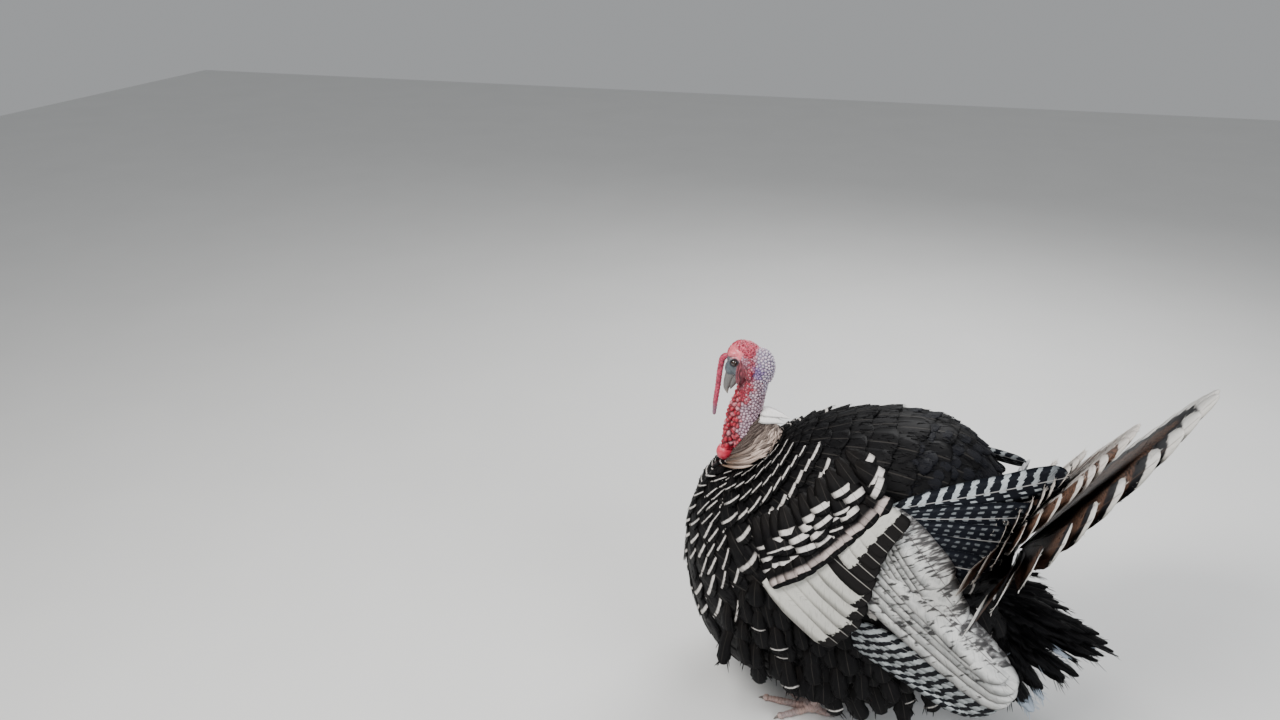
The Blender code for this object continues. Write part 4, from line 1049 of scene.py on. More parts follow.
def drape(down, turns, along, across, rise, reach, middle):
    """Points on the coat that lie so far along and across from a place on a stream, and so high."""
    per_turn = np.linalg.norm(read_net(NET_ROUND, turns, middle), axis=-1) * STREAMS / (2 * math.pi)
    down_here = down[:, None, None] + along / reach[:, None, None]
    turn_here = turns[:, None, None] + across / np.maximum(per_turn, 0.02)[:, None, None]
    return read_net(NET, turn_here, down_here) + read_net(NET_OUT, turn_here, down_here) * rise[..., None]


def stream_lengths(turns):
    """How long the streams at some turns are."""
    return np.interp(turns % (2 * math.pi), np.linspace(0, 2 * math.pi, STREAMS + 1), LENGTHS)


def climb(heights, share):
    """How far a feather stands off the skin at a share of its length."""
    return heights[0] + (heights[1] - heights[0]) * share**0.8


def lay_row(down, turns, length, width, heights, lean, lift):
    """One row of body feathers whose roots lie on the streams at one distance down them.

    heights are how far root and tip stand off the skin, lean turns the feathers away from their
    stream and lift raises their tips. Each feather follows the body's curve.
    """
    many, stations = len(turns), BODY_STATIONS
    half = ragged(many, stations, BODY_SHAPE, ROW_FRAY)
    aside = ACROSS * half * (width[:, None, None] / 2)
    ahead = stations[None, :, None] * length[:, None, None]
    lean = lean[:, None, None]
    rise = climb(heights, stations)[None, :, None] + lift[:, None, None] * stations[None, :, None] ** 2
    rise = rise + ACROSS * ROW_ROLL - ROW_CUP * ACROSS**2 * half - ROW_THICKNESS
    along, across = ahead * np.cos(lean) - aside * np.sin(lean), ahead * np.sin(lean) + aside * np.cos(lean)
    reach = stream_lengths(turns)
    return drape(down, turns, along, across, rise, reach, np.clip(down + length / reach / 2, 0, 0.999))


def lay_strands(coat, down, turns, length, width, heights, lean, lift, tone, bar, each, first=0.5):
    """Loose barbs over the outer part of each feather, splayed from its shaft past its edge."""
    many = len(turns) * each
    own = np.repeat(np.arange(len(turns)), each)
    start = first + (0.93 - first) * RNG.random(many) ** 0.6
    side = (RNG.random(many) * 2 - 1) * 0.92 * widths(BODY_SHAPE, start)
    reach = stream_lengths(turns[own])
    splay = lean[own] + side * 0.42 + 0.14 * RNG.normal(0, 1, many)
    extent = length[own] * (0.10 + 0.13 * RNG.random(many))
    along0 = start * length[own] * np.cos(lean[own]) - side * width[own] / 2 * np.sin(lean[own])
    across0 = start * length[own] * np.sin(lean[own]) + side * width[own] / 2 * np.cos(lean[own])
    thin = (STRAND_WIDTH * (0.7 + 0.6 * RNG.random(many)))[:, None] * STRAND_TAPER
    ahead = extent[:, None, None] * STRAND_STATIONS[None, :, None] * np.ones((1, 1, 4))
    aside = thin[:, :, None] * STRAND_RING[None, None, :]
    turn = splay[:, None, None]
    along = along0[:, None, None] + ahead * np.cos(turn) - aside * np.sin(turn)
    across = across0[:, None, None] + ahead * np.sin(turn) + aside * np.cos(turn)
    base = climb(heights, start) + lift[own] * start**2 - 0.0026 * side**2 + side * 0.0012
    tip = base + 0.0006 + 0.0022 * RNG.random(many)
    rise = base[:, None, None] + (tip - base)[:, None, None] * STRAND_STATIONS[None, :, None] ** 1.3
    rise = rise + thin[:, :, None] * STRAND_RIDGE
    place = np.clip(down[own] + along0 / reach, 0, 0.999)
    grid = drape(down[own], turns[own], along, across, rise, reach, place)
    u = np.broadcast_to((side / 2 + 0.5)[:, None, None], ahead.shape)
    v = np.minimum(start[:, None, None] + ahead / length[own][:, None, None], 0.999)
    patches = bake_places(turns[own], down[own])
    coat.add_strands(grid, np.stack([u, v], axis=3), tone[own], bar[own], patches)


def bake_places(turns, down):
    """Where tufts lie on the bake map."""
    return np.stack([turns / (2 * math.pi) % 1.0, down], axis=1)


def row_turns(down, first, last, spacing, offset):
    """Evenly spaced turns along a row, with a little irregularity."""
    turns = np.linspace(first, last, STREAMS // 2)
    line = read_net(NET, turns, np.full(len(turns), down))
    gone = gone_along(line)
    many = max(int(gone[-1] / spacing), 3)
    at = (np.arange(many) + 0.5 * offset + 0.25 + 0.16 * (RNG.random(many) - 0.5)) / many
    return np.interp(at * gone[-1], gone, turns)


def lay_tract(
    coat, edges, start, stop, spacing, heights, bar, long=2.9, wide=2.0, slant=None, loose=0.5,
    sway=0.30, uneven=0.16, fluff=0.003, each=8,
):
    """Rows of feathers over part of the body, from start to stop down the streams.

    edges are the first and last stream in degrees, spacing(down) is the distance between rows in
    metres, bar(turn, down) the width of the white bar as a share of the feather, long and wide a
    feather's size as a share of that distance, slant(turn, down) how far the feathers turn away from
    their stream, sway how unevenly they do so, loose how far they leave their row, uneven how much
    their lengths differ, fluff how far some tips stand up, and each the number of loose barbs.
    """
    first, last = [math.radians(edge) for edge in edges]
    reach = float(stream_lengths(np.array([(first + last) / 2]))[0])
    down, row = start, 0
    while down < stop:
        gap = spacing(down)
        turns = row_turns(down, first, last, gap * 0.92, row % 2)
        many = len(turns)
        scatter = loose(turns) if callable(loose) else loose
        here = np.full(many, down) + (RNG.random(many) - 0.5) * scatter * gap / reach
        lean = (slant(turns, here) if slant else 0.0) + sway * (RNG.random(many) - 0.5)
        length = gap * long * stream_lengths(turns) / reach * (1 + uneven * (RNG.random(many) - 0.5))
        width = gap * wide * (0.9 + 0.2 * RNG.random(many))
        lift = (RNG.random(many) ** 2) * fluff
        tone, white = RNG.random(many), bar(turns, here)
        patches = bake_places(turns, here)
        grid = lay_row(here, turns, length, width, heights, lean, lift)
        coat.add(grid, BODY_STATIONS, tone, white, patches)
        lay_strands(coat, here, turns, length, width, heights, lean, lift, tone, white, each)
        down += gap / reach
        row += 1
    return coat


print("feather tools ready; one body feather has", len(blade_faces(len(BODY_STATIONS))), "faces")

# %% [markdown]
# Quill feathers are straight, stiff and tiled: each lies over the next one like a roof tile. So each
# is turned a little about its own length, just enough for its edge to clear its neighbour.

# %% Stiff feathers in rows and fans


def stiff_feathers(
    roots, tips, out, width, lift, arch, cup, fray=0.03, shape=LONG_SHAPE, turn=1.0, sweep=0.0, twist=0.0,
):
    """A row of quill feathers from roots to tips, their upper face towards out, as a grid of points.

    lift is how far an edge clears the next feather and turn says which edge, arch and cup bend a
    feather along and across, fray makes its edges ragged, sweep bends it sideways and twist turns it
    about its shaft, most at the tip.
    """
    roots, tips = np.array(roots, float), np.array(tips, float)
    many, stations = len(roots), LONG_STATIONS
    out = np.broadcast_to(np.array(out, float), (many, 3))
    along = tips - roots
    ahead = unit(along)
    across = unit(np.cross(ahead, out))
    face = np.cross(across, ahead)
    centre = roots[:, None, :] + along[:, None, :] * stations[None, :, None]
    nearest = [i + 1 if i + 1 < many else i - 1 for i in range(many)]
    apart = np.abs(np.einsum("ijk,ik->ij", centre[nearest] - centre, across))
    roll = turn * np.arcsin(np.clip(lift / np.maximum(apart, 1e-4), 0, 0.5))
    roll = roll + np.broadcast_to(twist, (many,))[:, None] * stations[None, :] ** 0.5
    half = ragged(many, stations, shape, fray)
    width = np.broadcast_to(np.array(width, float), (many,))
    aside = ACROSS * half * width[:, None, None] / 2
    side = across[:, None, :] * np.cos(roll)[..., None] + face[:, None, :] * np.sin(roll)[..., None]
    up = face[:, None, :] * np.cos(roll)[..., None] - across[:, None, :] * np.sin(roll)[..., None]
    rise = arch * np.sin(math.pi * stations)[None, :, None] - cup * ACROSS**2 * half - QUILL_RIDGE
    bend = np.broadcast_to(sweep, (many,))[:, None, None] * (stations**2)[None, :, None]
    return spread(centre, side, up, aside + bend, rise)


def strips(count, row, rows, reach=0.9):
    """Places side by side on the bake map for long feathers, which get a strip each."""
    u = (np.arange(count) + 0.5) / count
    v = np.full(count, (row + 0.5) / rows)
    return np.stack([u, v], axis=1), (reach / count, reach / rows)


def shades(count):
    """A random tone for each feather, and no bar."""
    return RNG.random(count), np.zeros(count)


def line_between(first, last, count):
    """Evenly spaced places on a straight line."""
    first, way = np.array(first), np.array(last) - np.array(first)
    return np.array([first + way * k / (count - 1) for k in range(count)])


print("a quill feather has", len(blade_faces(len(LONG_STATIONS))), "faces")

# %% [markdown]
# Feather finishes. Each reads the feather's own length and width, so bars, bands and tips stay where
# they grow. Barbs are fine ridges that sweep from the shaft to the edge, with painted shade between
# them, and the shaft is a thin paler line. A turkey's black is never flat: it is a deep brown-black
# with a faint painted sheen.

# %% Finishes for the plumage
BLACK = (0.0026, 0.0025, 0.003)
BROWN_BLACK = (0.0048, 0.0038, 0.0035)
WHITE = (0.66, 0.63, 0.60)
SHAFT_WIDTH = 0.035
FULL_WAVE = 6.283
RIDGE = 0.00022
BAR_BLUR = 0.012
TIP_BLUR = 0.03
INK = (0.010, 0.009, 0.009)
# Painted sheen on black feathers, a touch lighter than BLACK; the tail coverts use it for their black end.
SHEEN = (0.010, 0.009, 0.010)


class Plume(Finish):
    """A finish that knows its place on the feather."""

    def __init__(self, name, roughness, barbs, rake=0.12):
        super().__init__(name, roughness, Specular_IOR_Level=0.09)
        vane = self.node("ShaderNodeUVMap", {"uv_map": "vane"})
        self.across, self.along = self.part(vane, 0), self.part(vane, 1)
        self.tone = self.attribute("tone")
        self.bar = self.attribute("bar")
        self.aside = abs(self.across * 2.0 - 1.0)
        self.spot = self.vector(self.across, self.along * 3.0, self.tone * 40.0)
        self.fuzz = self.noise(self.spot, 9.0, 3.0)
        swept = self.along - self.aside * rake + self.fuzz * 0.03
        self.barbs = (swept * (barbs * FULL_WAVE)).sine()
        self.strands = self.noise(self.vector(swept * barbs, self.across * 3.0, self.tone * 9.0), 1.0, 2.0)

    def shaft(self):
        """1 on the shaft and 0 beside it."""
        return 1.0 - self.aside.step(SHAFT_WIDTH * 0.4, SHAFT_WIDTH * 1.3)

    def black(self, painted_sheen=0.5):
        """Brown-black at the base, deep towards the tip, with faint streaks of painted sheen."""
        base = self.mix(BROWN_BLACK, BLACK, self.along.step(0.2, 0.7))
        # Painted sheen: lighter streaks along the strands.
        return self.mix(base, SHEEN, (self.strands * 1.4 - 0.62).step(0.0, 0.5) * painted_sheen)

    def finish(self, colour, shaft, shaft_share):
        """Adds painted shade between the barbs, the shaft and the fine relief."""
        # Painted shade: darker where the strands are low, between the barbs.
        shaded = self.mix(colour, (0.004, 0.004, 0.004), (0.5 - self.strands).step(0.0, 0.35) * 0.45)
        colour = self.mix(shaded, shaft, self.shaft() * shaft_share)
        relief = self.barbs * 0.35 + self.strands * 1.3 + self.shaft() * 1.5
        return self.use(Base_Color=colour, Normal=self.bump(relief, RIDGE, 0.7))


def barred_black(name):
    """Black with one white bar just short of a black tip; the bar's width comes with each feather."""
    p = Plume(name, 0.50, 46.0, 0.50)
    end = 0.875 + (p.tone - 0.5) * 0.05
    at = p.along + (p.fuzz - 0.5) * 0.035 + p.aside * p.aside * 0.045
    start = end - p.bar
    begun = at.step(start - BAR_BLUR * 2.5, start + BAR_BLUR)
    mask = begun * (1.0 - at.step(end - BAR_BLUR, end + BAR_BLUR)) * (p.bar > 0.004)
    white = p.mix(WHITE, (0.42, 0.38, 0.36), p.strands.step(0.45, 0.85))
    return p.finish(p.mix(p.black(), white, mask), shaft=(0.05, 0.045, 0.04), shaft_share=0.5)


def tipped_black(name, start, tint, share):
    """Black with a pale tip on some of the feathers."""
    p = Plume(name, 0.50, 46.0, 0.45)
    ragged_edge = (p.fuzz - 0.5) * 0.10 + (p.strands - 0.5) * 0.14 + p.aside * 0.04
    mask = (p.along + ragged_edge).step(start, start + TIP_BLUR) * (p.bar > 1.0 - share)
    return p.finish(p.mix(p.black(), tint, mask), shaft=(0.04, 0.036, 0.034), shaft_share=0.5)


def plain_black(name):
    """The saddle: long black feathers with a soft painted sheen, bluish towards the tip."""
    p = Plume(name, 0.50, 46.0, 0.50)
    # Painted sheen: a bluish shine mixed in towards the tip.
    painted_sheen = p.mix(p.black(0.7), (0.008, 0.009, 0.014), p.along.step(0.55, 0.9) * 0.5)
    return p.finish(painted_sheen, shaft=(0.02, 0.018, 0.018), shaft_share=0.4)


def ruff_finish(name):
    """The tan and cream ring round the neck's base."""
    p = Plume(name, 0.55, 30.0)
    warm = p.mix((0.20, 0.130, 0.095), (0.60, 0.47, 0.40), p.along.step(0.20, 0.80))
    warm = p.mix((0.075, 0.055, 0.048), warm, (p.bar + p.tone * 0.35).step(0.20, 0.60))
    dark = p.mix(warm, (0.040, 0.030, 0.026), ((p.tone - 0.66) * 4.0).step(0.0, 1.0) * 0.85)
    white = p.mix(dark, (0.78, 0.76, 0.74), p.bar.step(0.9, 0.95))
    return p.finish(white, shaft=(0.70, 0.62, 0.55), shaft_share=0.4)


def covert_finish(name):
    """Greater coverts: cream with a black end, longest on the upper ones; the middle one is all black."""
    p = Plume(name, 0.55, 60.0)
    cream = p.mix((0.60, 0.585, 0.53), (0.44, 0.43, 0.38), p.strands.step(0.5, 0.9) * 0.6)
    cream = p.mix(cream, (0.36, 0.37, 0.35), p.along.step(0.0, 0.5) * 0.25)
    at = p.along + (p.fuzz - 0.5) * 0.16 + p.aside * 0.05
    upper = p.bar.step(0.50, 0.52)
    middle = p.bar.step(0.36, 0.38) * (1.0 - p.bar.step(0.72, 0.74))
    tip = at.step(0.885, 0.905) * (1.0 - upper) + at.step(0.60, 0.62) * upper
    whole = p.bar.step(0.42, 0.44) * (1.0 - p.bar.step(0.52, 0.54))
    base = (1.0 - at.step(0.22, 0.24)) * middle * upper
    ink = tip.math("MAXIMUM", base.math("MAXIMUM", whole * at.step(0.02, 0.06)))
    return p.finish(p.mix(cream, INK, ink), shaft=(0.50, 0.49, 0.45), shaft_share=0.5)


def median_finish(name):
    """Median coverts: black, with a soft pinkish-white bar before the black tip."""
    p = Plume(name, 0.45, 46.0, 0.40)
    at = p.along + (p.fuzz - 0.5) * 0.05
    bar = at.step(0.52, 0.72) * (1.0 - at.step(0.80, 0.83))
    tint = p.mix((0.60, 0.52, 0.49), (0.40, 0.31, 0.29), p.strands.step(0.4, 0.8))
    colour = p.mix(p.black(), tint, bar * (0.55 + p.tone * 0.45))
    return p.finish(colour, shaft=(0.05, 0.045, 0.04), shaft_share=0.5)


def mottled_finish(name):
    """Secondaries: white, clouded with grey and black above the shaft, clean towards the tip."""
    p = Plume(name, 0.5, 90.0)
    grain = p.vector(p.across * 2.2 + p.tone * 5.0, p.along * 21.0 + p.across * 2.0, p.tone * 17.0)
    cloud = p.noise(grain, 1.5, 4.0)
    upper = 1.0 - p.across.step(0.25, 0.75)
    amount = (cloud + upper * 0.16 - 0.07 - p.along.step(0.86, 0.98) * 0.22).step(0.46, 0.58)
    light = p.mix((0.68, 0.68, 0.66), (0.50, 0.51, 0.50), p.noise(p.spot, 5.0).step(0.4, 0.7))
    dark = p.mix((0.030, 0.028, 0.030), (0.17, 0.16, 0.16), cloud.step(0.55, 0.50) * 0.7)
    # Painted shade: both edges of each feather turn darker grey, where the feathers overlap.
    edge = p.aside.step(0.86, 0.99) * 0.55
    colour = p.mix(light, dark, amount * 0.92)
    return p.finish(p.mix(colour, (0.16, 0.15, 0.15), edge), shaft=(0.12, 0.11, 0.11), shaft_share=0.75)


def barred_finish(name):
    """Primaries: even black and white bars that slant one way across the whole feather."""
    p = Plume(name, 0.45, 110.0)
    wave = (p.along * 12.0 + p.across * 1.3 + (p.fuzz - 0.5) * 0.5 + p.tone * 0.3) * FULL_WAVE
    mask = (wave.sine() * 0.5 + 0.5).step(0.45, 0.58)
    colour = p.mix((0.010, 0.011, 0.014), (0.42, 0.45, 0.46), mask)
    return p.finish(colour, shaft=(0.30, 0.30, 0.30), shaft_share=0.8)


def tertial_finish(name):
    """Tertials: blue-black with slanted white bars above the shaft and square spots below it."""
    p = Plume(name, 0.40, 110.0)
    steps = p.along * 11.0 - p.aside * 0.5 + (p.fuzz - 0.5) * 0.6 + p.tone
    bars = ((steps * FULL_WAVE).sine() * 0.5 + 0.5).step(0.56, 0.72)
    rows = ((p.aside * 3.1 * FULL_WAVE).sine() * 0.5 + 0.5).step(0.50, 0.70)
    bars = bars * (1.0 - p.along.step(0.72, 1.0) * 0.8) * (0.45 + p.strands * 0.8)
    lower = p.across.step(0.47, 0.53)
    spotted = p.bar < 0.9
    share = lower.math("MAXIMUM", spotted)
    edge = 1.0 - p.aside.step(0.90, 1.0) * 0.7
    mask = bars * (1.0 - share + share * rows) * edge * (1.0 - spotted * (0.85 - p.bar * 0.35))
    dark = p.mix((0.005, 0.006, 0.009), (0.012, 0.014, 0.020), p.strands)
    return p.finish(p.mix(dark, (0.50, 0.55, 0.58), mask), shaft=(0.42, 0.42, 0.42), shaft_share=0.95)


def vermiculated(p, lines, tint=(0.150, 0.078, 0.050)):
    """Fine wavy black lines across a warm brown."""
    wander = (p.noise(p.spot, 14.0, 3.0) - 0.5) * 2.2
    wave = (p.along * lines + p.aside * p.aside * 2.6 + wander + p.tone * 3.0) * FULL_WAVE
    return p.mix(tint, (0.020, 0.014, 0.012), (wave.sine() * 0.5 + 0.5).step(0.50, 0.80))


def tail_covert_finish(name, black_from):
    """Tail coverts: brown with fine lines, on some rows black at the end, with a white fringe."""
    p = Plume(name, 0.48, 90.0)
    brown = vermiculated(p, 26.0)
    at = p.along + (p.fuzz - 0.5) * 0.04 + p.aside * 0.02
    colour = p.mix(brown, SHEEN, at.step(black_from - 0.02, black_from + 0.02))
    side = p.aside.step(0.78, 0.90) * p.along.step(0.25, 0.5) * (0.6 + p.fuzz * 0.5)
    fringe = side.math("MAXIMUM", at.step(0.905, 0.925))
    colour = p.mix(colour, (0.68, 0.63, 0.58), fringe)
    return p.finish(colour, shaft=(0.10, 0.06, 0.04), shaft_share=0.6)


def rectrix_finish(name):
    """Main tail feathers: brown with fine lines, a broad black band and a white tip."""
    p = Plume(name, 0.45, 150.0)
    brown = vermiculated(p, 46.0, (0.140, 0.074, 0.048))
    at = p.along + (p.fuzz - 0.5) * 0.03 + p.aside * 0.015
    colour = p.mix(brown, (0.010, 0.010, 0.012), at.step(0.79, 0.82))
    colour = p.mix(colour, (0.70, 0.68, 0.64), at.step(0.895, 0.915))
    return p.finish(colour, shaft=(0.09, 0.055, 0.04), shaft_share=0.7)


print("plumage finishes written")

# %% [markdown]
# The body's feathers grow in tracts. Breast and belly go on first, then flanks, saddle and cape, so
# that each tract overlaps the one below it. Rows start fine at the neck and get coarser towards the
# tail. The cape carries the white bars, the saddle is solid black, breast and flanks are only tipped.

# %% Lay the tracts of the body
BELLY_HEIGHTS = (0.001, 0.009)
BREAST_HEIGHTS = (0.0005, 0.0055)
FLANK_HEIGHTS = (0.001, 0.0105)
SADDLE_HEIGHTS = (0.002, 0.010)
CAPE_HEIGHTS = (0.004, 0.0125)


def spacing_from(fine, coarse, by):
    """Distance between rows that grows from the neck to a place down the streams."""
    return lambda down: fine + (coarse - fine) * min(max(down, 0) / by, 1.0) ** 0.8


def side_of(turn):
    """1 for streams on one side of the bird and -1 on the other."""
    return np.where(np.sin(turn) < 0, 1.0, -1.0)


def degrees_from_back(turn):
    """How far round a stream lies from the middle of the back, in degrees."""
    return np.abs((np.degrees(turn) + 180) % 360 - 180)


def cape_bar(turn, down):
    """White bars: hair thin at the neck and broad at the shoulder, with none along the back."""
    width = 0.040 + 0.065 * np.clip(down / 0.30, 0, 1)
    width = width * (0.75 + 0.5 * RNG.random(len(turn)))
    inside = (degrees_from_back(turn) - (14 + 165 * down)) / 10
    ends = (0.50 - down) / 0.05
    return width * (np.minimum(inside, ends) > RNG.random(len(turn)))


def breast_bar(turn, down):
    """Thin white bars on the breast, and hardly any on the belly."""
    keep = RNG.random(len(turn)) < 0.9 - 0.85 * np.clip((down - 0.22) / 0.12, 0, 1)
    return np.where(keep, 0.030 + 0.035 * RNG.random(len(turn)), 0.0)


def breast_slant(turn, down):
    """Breast feathers point back along the body as well as down."""
    away = (180 - degrees_from_back(turn)) / 22
    return side_of(turn) * 0.62 * np.clip(away, 0, 1) * np.clip(1.3 - down * 1.6, 0, 1)


def cape_slant(turn, down):
    """The cape's feathers turn outwards on the shoulders."""
    return side_of(turn) * 0.22 * np.clip((degrees_from_back(turn) - 40) / 50, 0, 1)


def cape_scatter(turn):
    """The barred sides lie in clear rows, and the plain middle of the back is looser."""
    return 0.14 + 0.46 * np.clip((45 - degrees_from_back(turn)) / 20, 0, 1)


def no_bar(turn, down):
    """Saddle feathers have none."""
    return np.zeros(len(turn))


def flank_bar(turn, down):
    """A thin bar on a few of the feathers."""
    return np.where(RNG.random(len(turn)) < 0.12, 0.04, 0.0)


belly = Coat()
lay_tract(belly, (118, 242), 0.40, 0.97, spacing_from(0.027, 0.030, 1), BELLY_HEIGHTS, flank_bar)
breast = Coat()
lay_tract(
    breast, (112, 248), -0.01, 0.46, spacing_from(0.012, 0.037, 0.2), BREAST_HEIGHTS, breast_bar,
    slant=breast_slant, loose=0.3, uneven=0.08, fluff=0.002,
)
flank = Coat()
for edges in ((66, 126), (234, 294)):
    lay_tract(flank, edges, 0.36, 0.97, spacing_from(0.027, 0.032, 1), FLANK_HEIGHTS, flank_bar)
saddle = Coat()
lay_tract(
    saddle, (-76, 76), 0.36, 0.92, spacing_from(0.021, 0.025, 1), SADDLE_HEIGHTS, no_bar, 3.7, 1.7,
    fluff=0.008, each=10,
)
cape = Coat()
lay_tract(
    cape, (-131, 131), -0.01, 0.47, spacing_from(0.010, 0.044, 0.34), CAPE_HEIGHTS, cape_bar,
    slant=cape_slant, loose=cape_scatter, sway=0.12, uneven=0.03, fluff=0.006, each=14,
)
print("tracts laid:", belly.feathers + breast.feathers + flank.feathers + saddle.feathers + cape.feathers)

# %% [markdown]
# Loose plumes hang from the belly and lower flanks over the legs. They leave the skin outwards and
# then fall, and the lowest tips end just above the floor. Then the body's coats become pieces.

# %% Hang the belly's plumes
HANGING_TURNS = (112, 120, 128, 136, 146)
HANGING_LENGTHS = (0.058, 0.066, 0.072, 0.076, 0.078)
HANGING_SPAN = (0.30, 0.84)
HANGING_EACH = 28
HANGING_WIDTH = 0.034
OUTWARD_SHARE = np.array((0.5, 0.25, 0.2))
FALL = np.array((0.28, 0, -1.0))
TICKED_SHARE = 0.16
TICK = 0.020
LOWEST_TIP = 0.014


def hanging_plumes(coat):
    """Rows of soft-edged plumes on both sides of the belly, the lower ones longer."""
    many = HANGING_EACH
    for degrees, length in zip(HANGING_TURNS, HANGING_LENGTHS):
        for side in (1, -1):
            down = np.linspace(*HANGING_SPAN, many) + 0.03 * (RNG.random(many) - 0.5)
            turn = side * np.radians(degrees) + 0.10 * (RNG.random(many) - 0.5)
            out = read_net(NET_OUT, turn, down)
            roots = read_net(NET, turn, down) + out * 0.003
            way = unit(out * OUTWARD_SHARE + FALL + RNG.normal(0, 0.10, (many, 3)))
            reach = length * (0.75 + 0.5 * RNG.random(many))
            tips = roots + way * reach[:, None]
            tips[:, 2] = np.maximum(tips[:, 2], LOWEST_TIP + 0.01 * RNG.random(many))
            wide = HANGING_WIDTH + 0.012 * RNG.random(many)
            grid = stiff_feathers(roots, tips, out, wide, 0, 0.006, 0.004, 0.25, BODY_SHAPE)
            patches = bake_places(turn, down)
            tick = np.where(RNG.random(many) < TICKED_SHARE, TICK, 0.0)
            coat.add(grid, LONG_STATIONS, RNG.random(many), tick, patches)
            coat.fringe(grid, 8, 0.0012, 0.016, 0.0, patches)


plumes = Coat()
hanging_plumes(plumes)
body_black = barred_black("plumage_barred")
plumes.build("belly_plumes", body_black, "plumage")
belly.build("belly_feathers", body_black, "plumage")
breast.build("breast_feathers", body_black, "plumage")
flank.build("flank_feathers", body_black, "plumage")
saddle.build("saddle_feathers", plain_black("plumage_saddle"), "plumage")
cape.build("cape_feathers", body_black, "plumage")

# %% [markdown]
# A ruff of narrow tan and cream feathers wraps the neck's base and hides where the bare skin ends.
# They grow along the ring, from the bulb round and up to the nape. So they are laid on a funnel
# between two rings: one on the neck, low in front and high behind, and one on the cape.

# %% Wrap the ruff round the neck
RUFF_ROWS = 6
RUFF_EACH = 52
RUFF_REACH = 146
RUFF_LOW = 0.503
RUFF_RISE = 0.108
RUFF_MIDDLE = (-0.225, 0.0, 0.500)
PLUME_SHAPE = ((0, 0.85), (0.15, 1.0), (0.4, 0.82), (0.7, 0.45), (0.9, 0.18), (1, 0.03))


def neck_ring(turn):
    """Where the ruff meets the bare neck; turn 0 is at the nape."""
    level = RUFF_LOW + RUFF_RISE * ((1 + np.cos(turn)) / 2) ** 0.75
    centre = np.interp(level, (0.470, 0.530, 0.585, 0.635), (-0.195, -0.222, -0.236, -0.230))
    radius = np.interp(level, (0.455, 0.530, 0.585, 0.635), (0.050, 0.035, 0.029, 0.0275))
    ahead = np.where(np.cos(turn) < 0, radius + 0.014, radius - 0.002) * np.cos(turn)
    return np.stack([centre + ahead, radius * np.sin(turn), level], axis=-1)


def cape_ring(turn):
    """Where the ruff lies down on the cape."""
    down = np.full(np.shape(turn), 0.038)
    return read_net(NET, turn, down) + read_net(NET_OUT, turn, down) * 0.0135


def funnel(turn, share):
    """A place on the funnel: share 0 is on the neck and 1 on the cape."""
    return neck_ring(turn) * (1 - share)[..., None] + cape_ring(turn) * share[..., None]


def ruff_grid(turn, share, around, down, width, lift):
    """Feathers that start at a turn and share and run towards the nape."""
    s = BODY_STATIONS[None, :]
    side = side_of(turn)[:, None]
    at, level = turn[:, None] + side * around[:, None] * s, share[:, None] + down[:, None] * s
    line = funnel(at, level)
    ahead = unit(np.gradient(line, axis=1))
    out = unit(line - np.array(RUFF_MIDDLE))
    across = unit(np.cross(ahead, out))
    face = np.cross(across, ahead)
    half = widths(POINTED_SHAPE, BODY_STATIONS)[None, :, None] * ACROSS * width[:, None, None] / 2
    rise = lift[:, None, None] * s[..., None] ** 1.3 + np.array([0, 0.0003, 0.0006, 0.0003, 0, -0.0003])
    return spread(line, across, face, half, rise)


def ruff_feathers():
    """Rows from the bare neck down to the cape, darkest near the skin."""
    ruff = Coat()
    many = RUFF_EACH
    for row in range(RUFF_ROWS):
        turn = np.radians(np.linspace(-RUFF_REACH, RUFF_REACH, many) + 5.0 * (RNG.random(many) - 0.5))
        share = row / RUFF_ROWS * 0.80 + 0.10 * RNG.random(many)
        around = 0.75 + 0.75 * RNG.random(many)
        down = 0.16 + 0.22 * RNG.random(many)
        width = 0.0045 + 0.0045 * RNG.random(many)
        lift = 0.0015 + 0.004 * RNG.random(many)
        grid = ruff_grid(turn, share, around, down, width, lift)
        patches = np.stack([0.5 + turn / 7, share * 0.2], axis=1)
        ruff.add(grid, BODY_STATIONS, RNG.random(many), share * 0.9, patches)
    return ruff


def nape_plumes(ruff):
    """The few long white pointed feathers that stand over the cape behind the neck."""
    roots = [(-0.208, -0.014, 0.603), (-0.208, 0.010, 0.604), (-0.207, -0.003, 0.612)]
    tips = [(-0.158, -0.017, 0.596), (-0.160, 0.014, 0.596), (-0.151, -0.006, 0.602)]
    grid = stiff_feathers(roots, tips, (-0.2, -0.5, 1.0), 0.031, 0.001, 0.003, 0.004, 0.06, PLUME_SHAPE)
    ruff.add(grid, LONG_STATIONS, np.full(3, 0.2), np.full(3, 1.0), RNG.random((3, 2)) * 0.1)


ruff = ruff_feathers()
nape_plumes(ruff)
ruff.build("neck_ruff", ruff_finish("ruff_feather"), "plumage")

# %% [markdown]
# The folded wing hangs low in strut. Along its bow lie small black feathers with white bars, then a
# row with a soft bar, then the big cream coverts, and from under those come the long secondaries and
# the barred primaries. Every row starts on a line over the wing and is laid under the row above it.

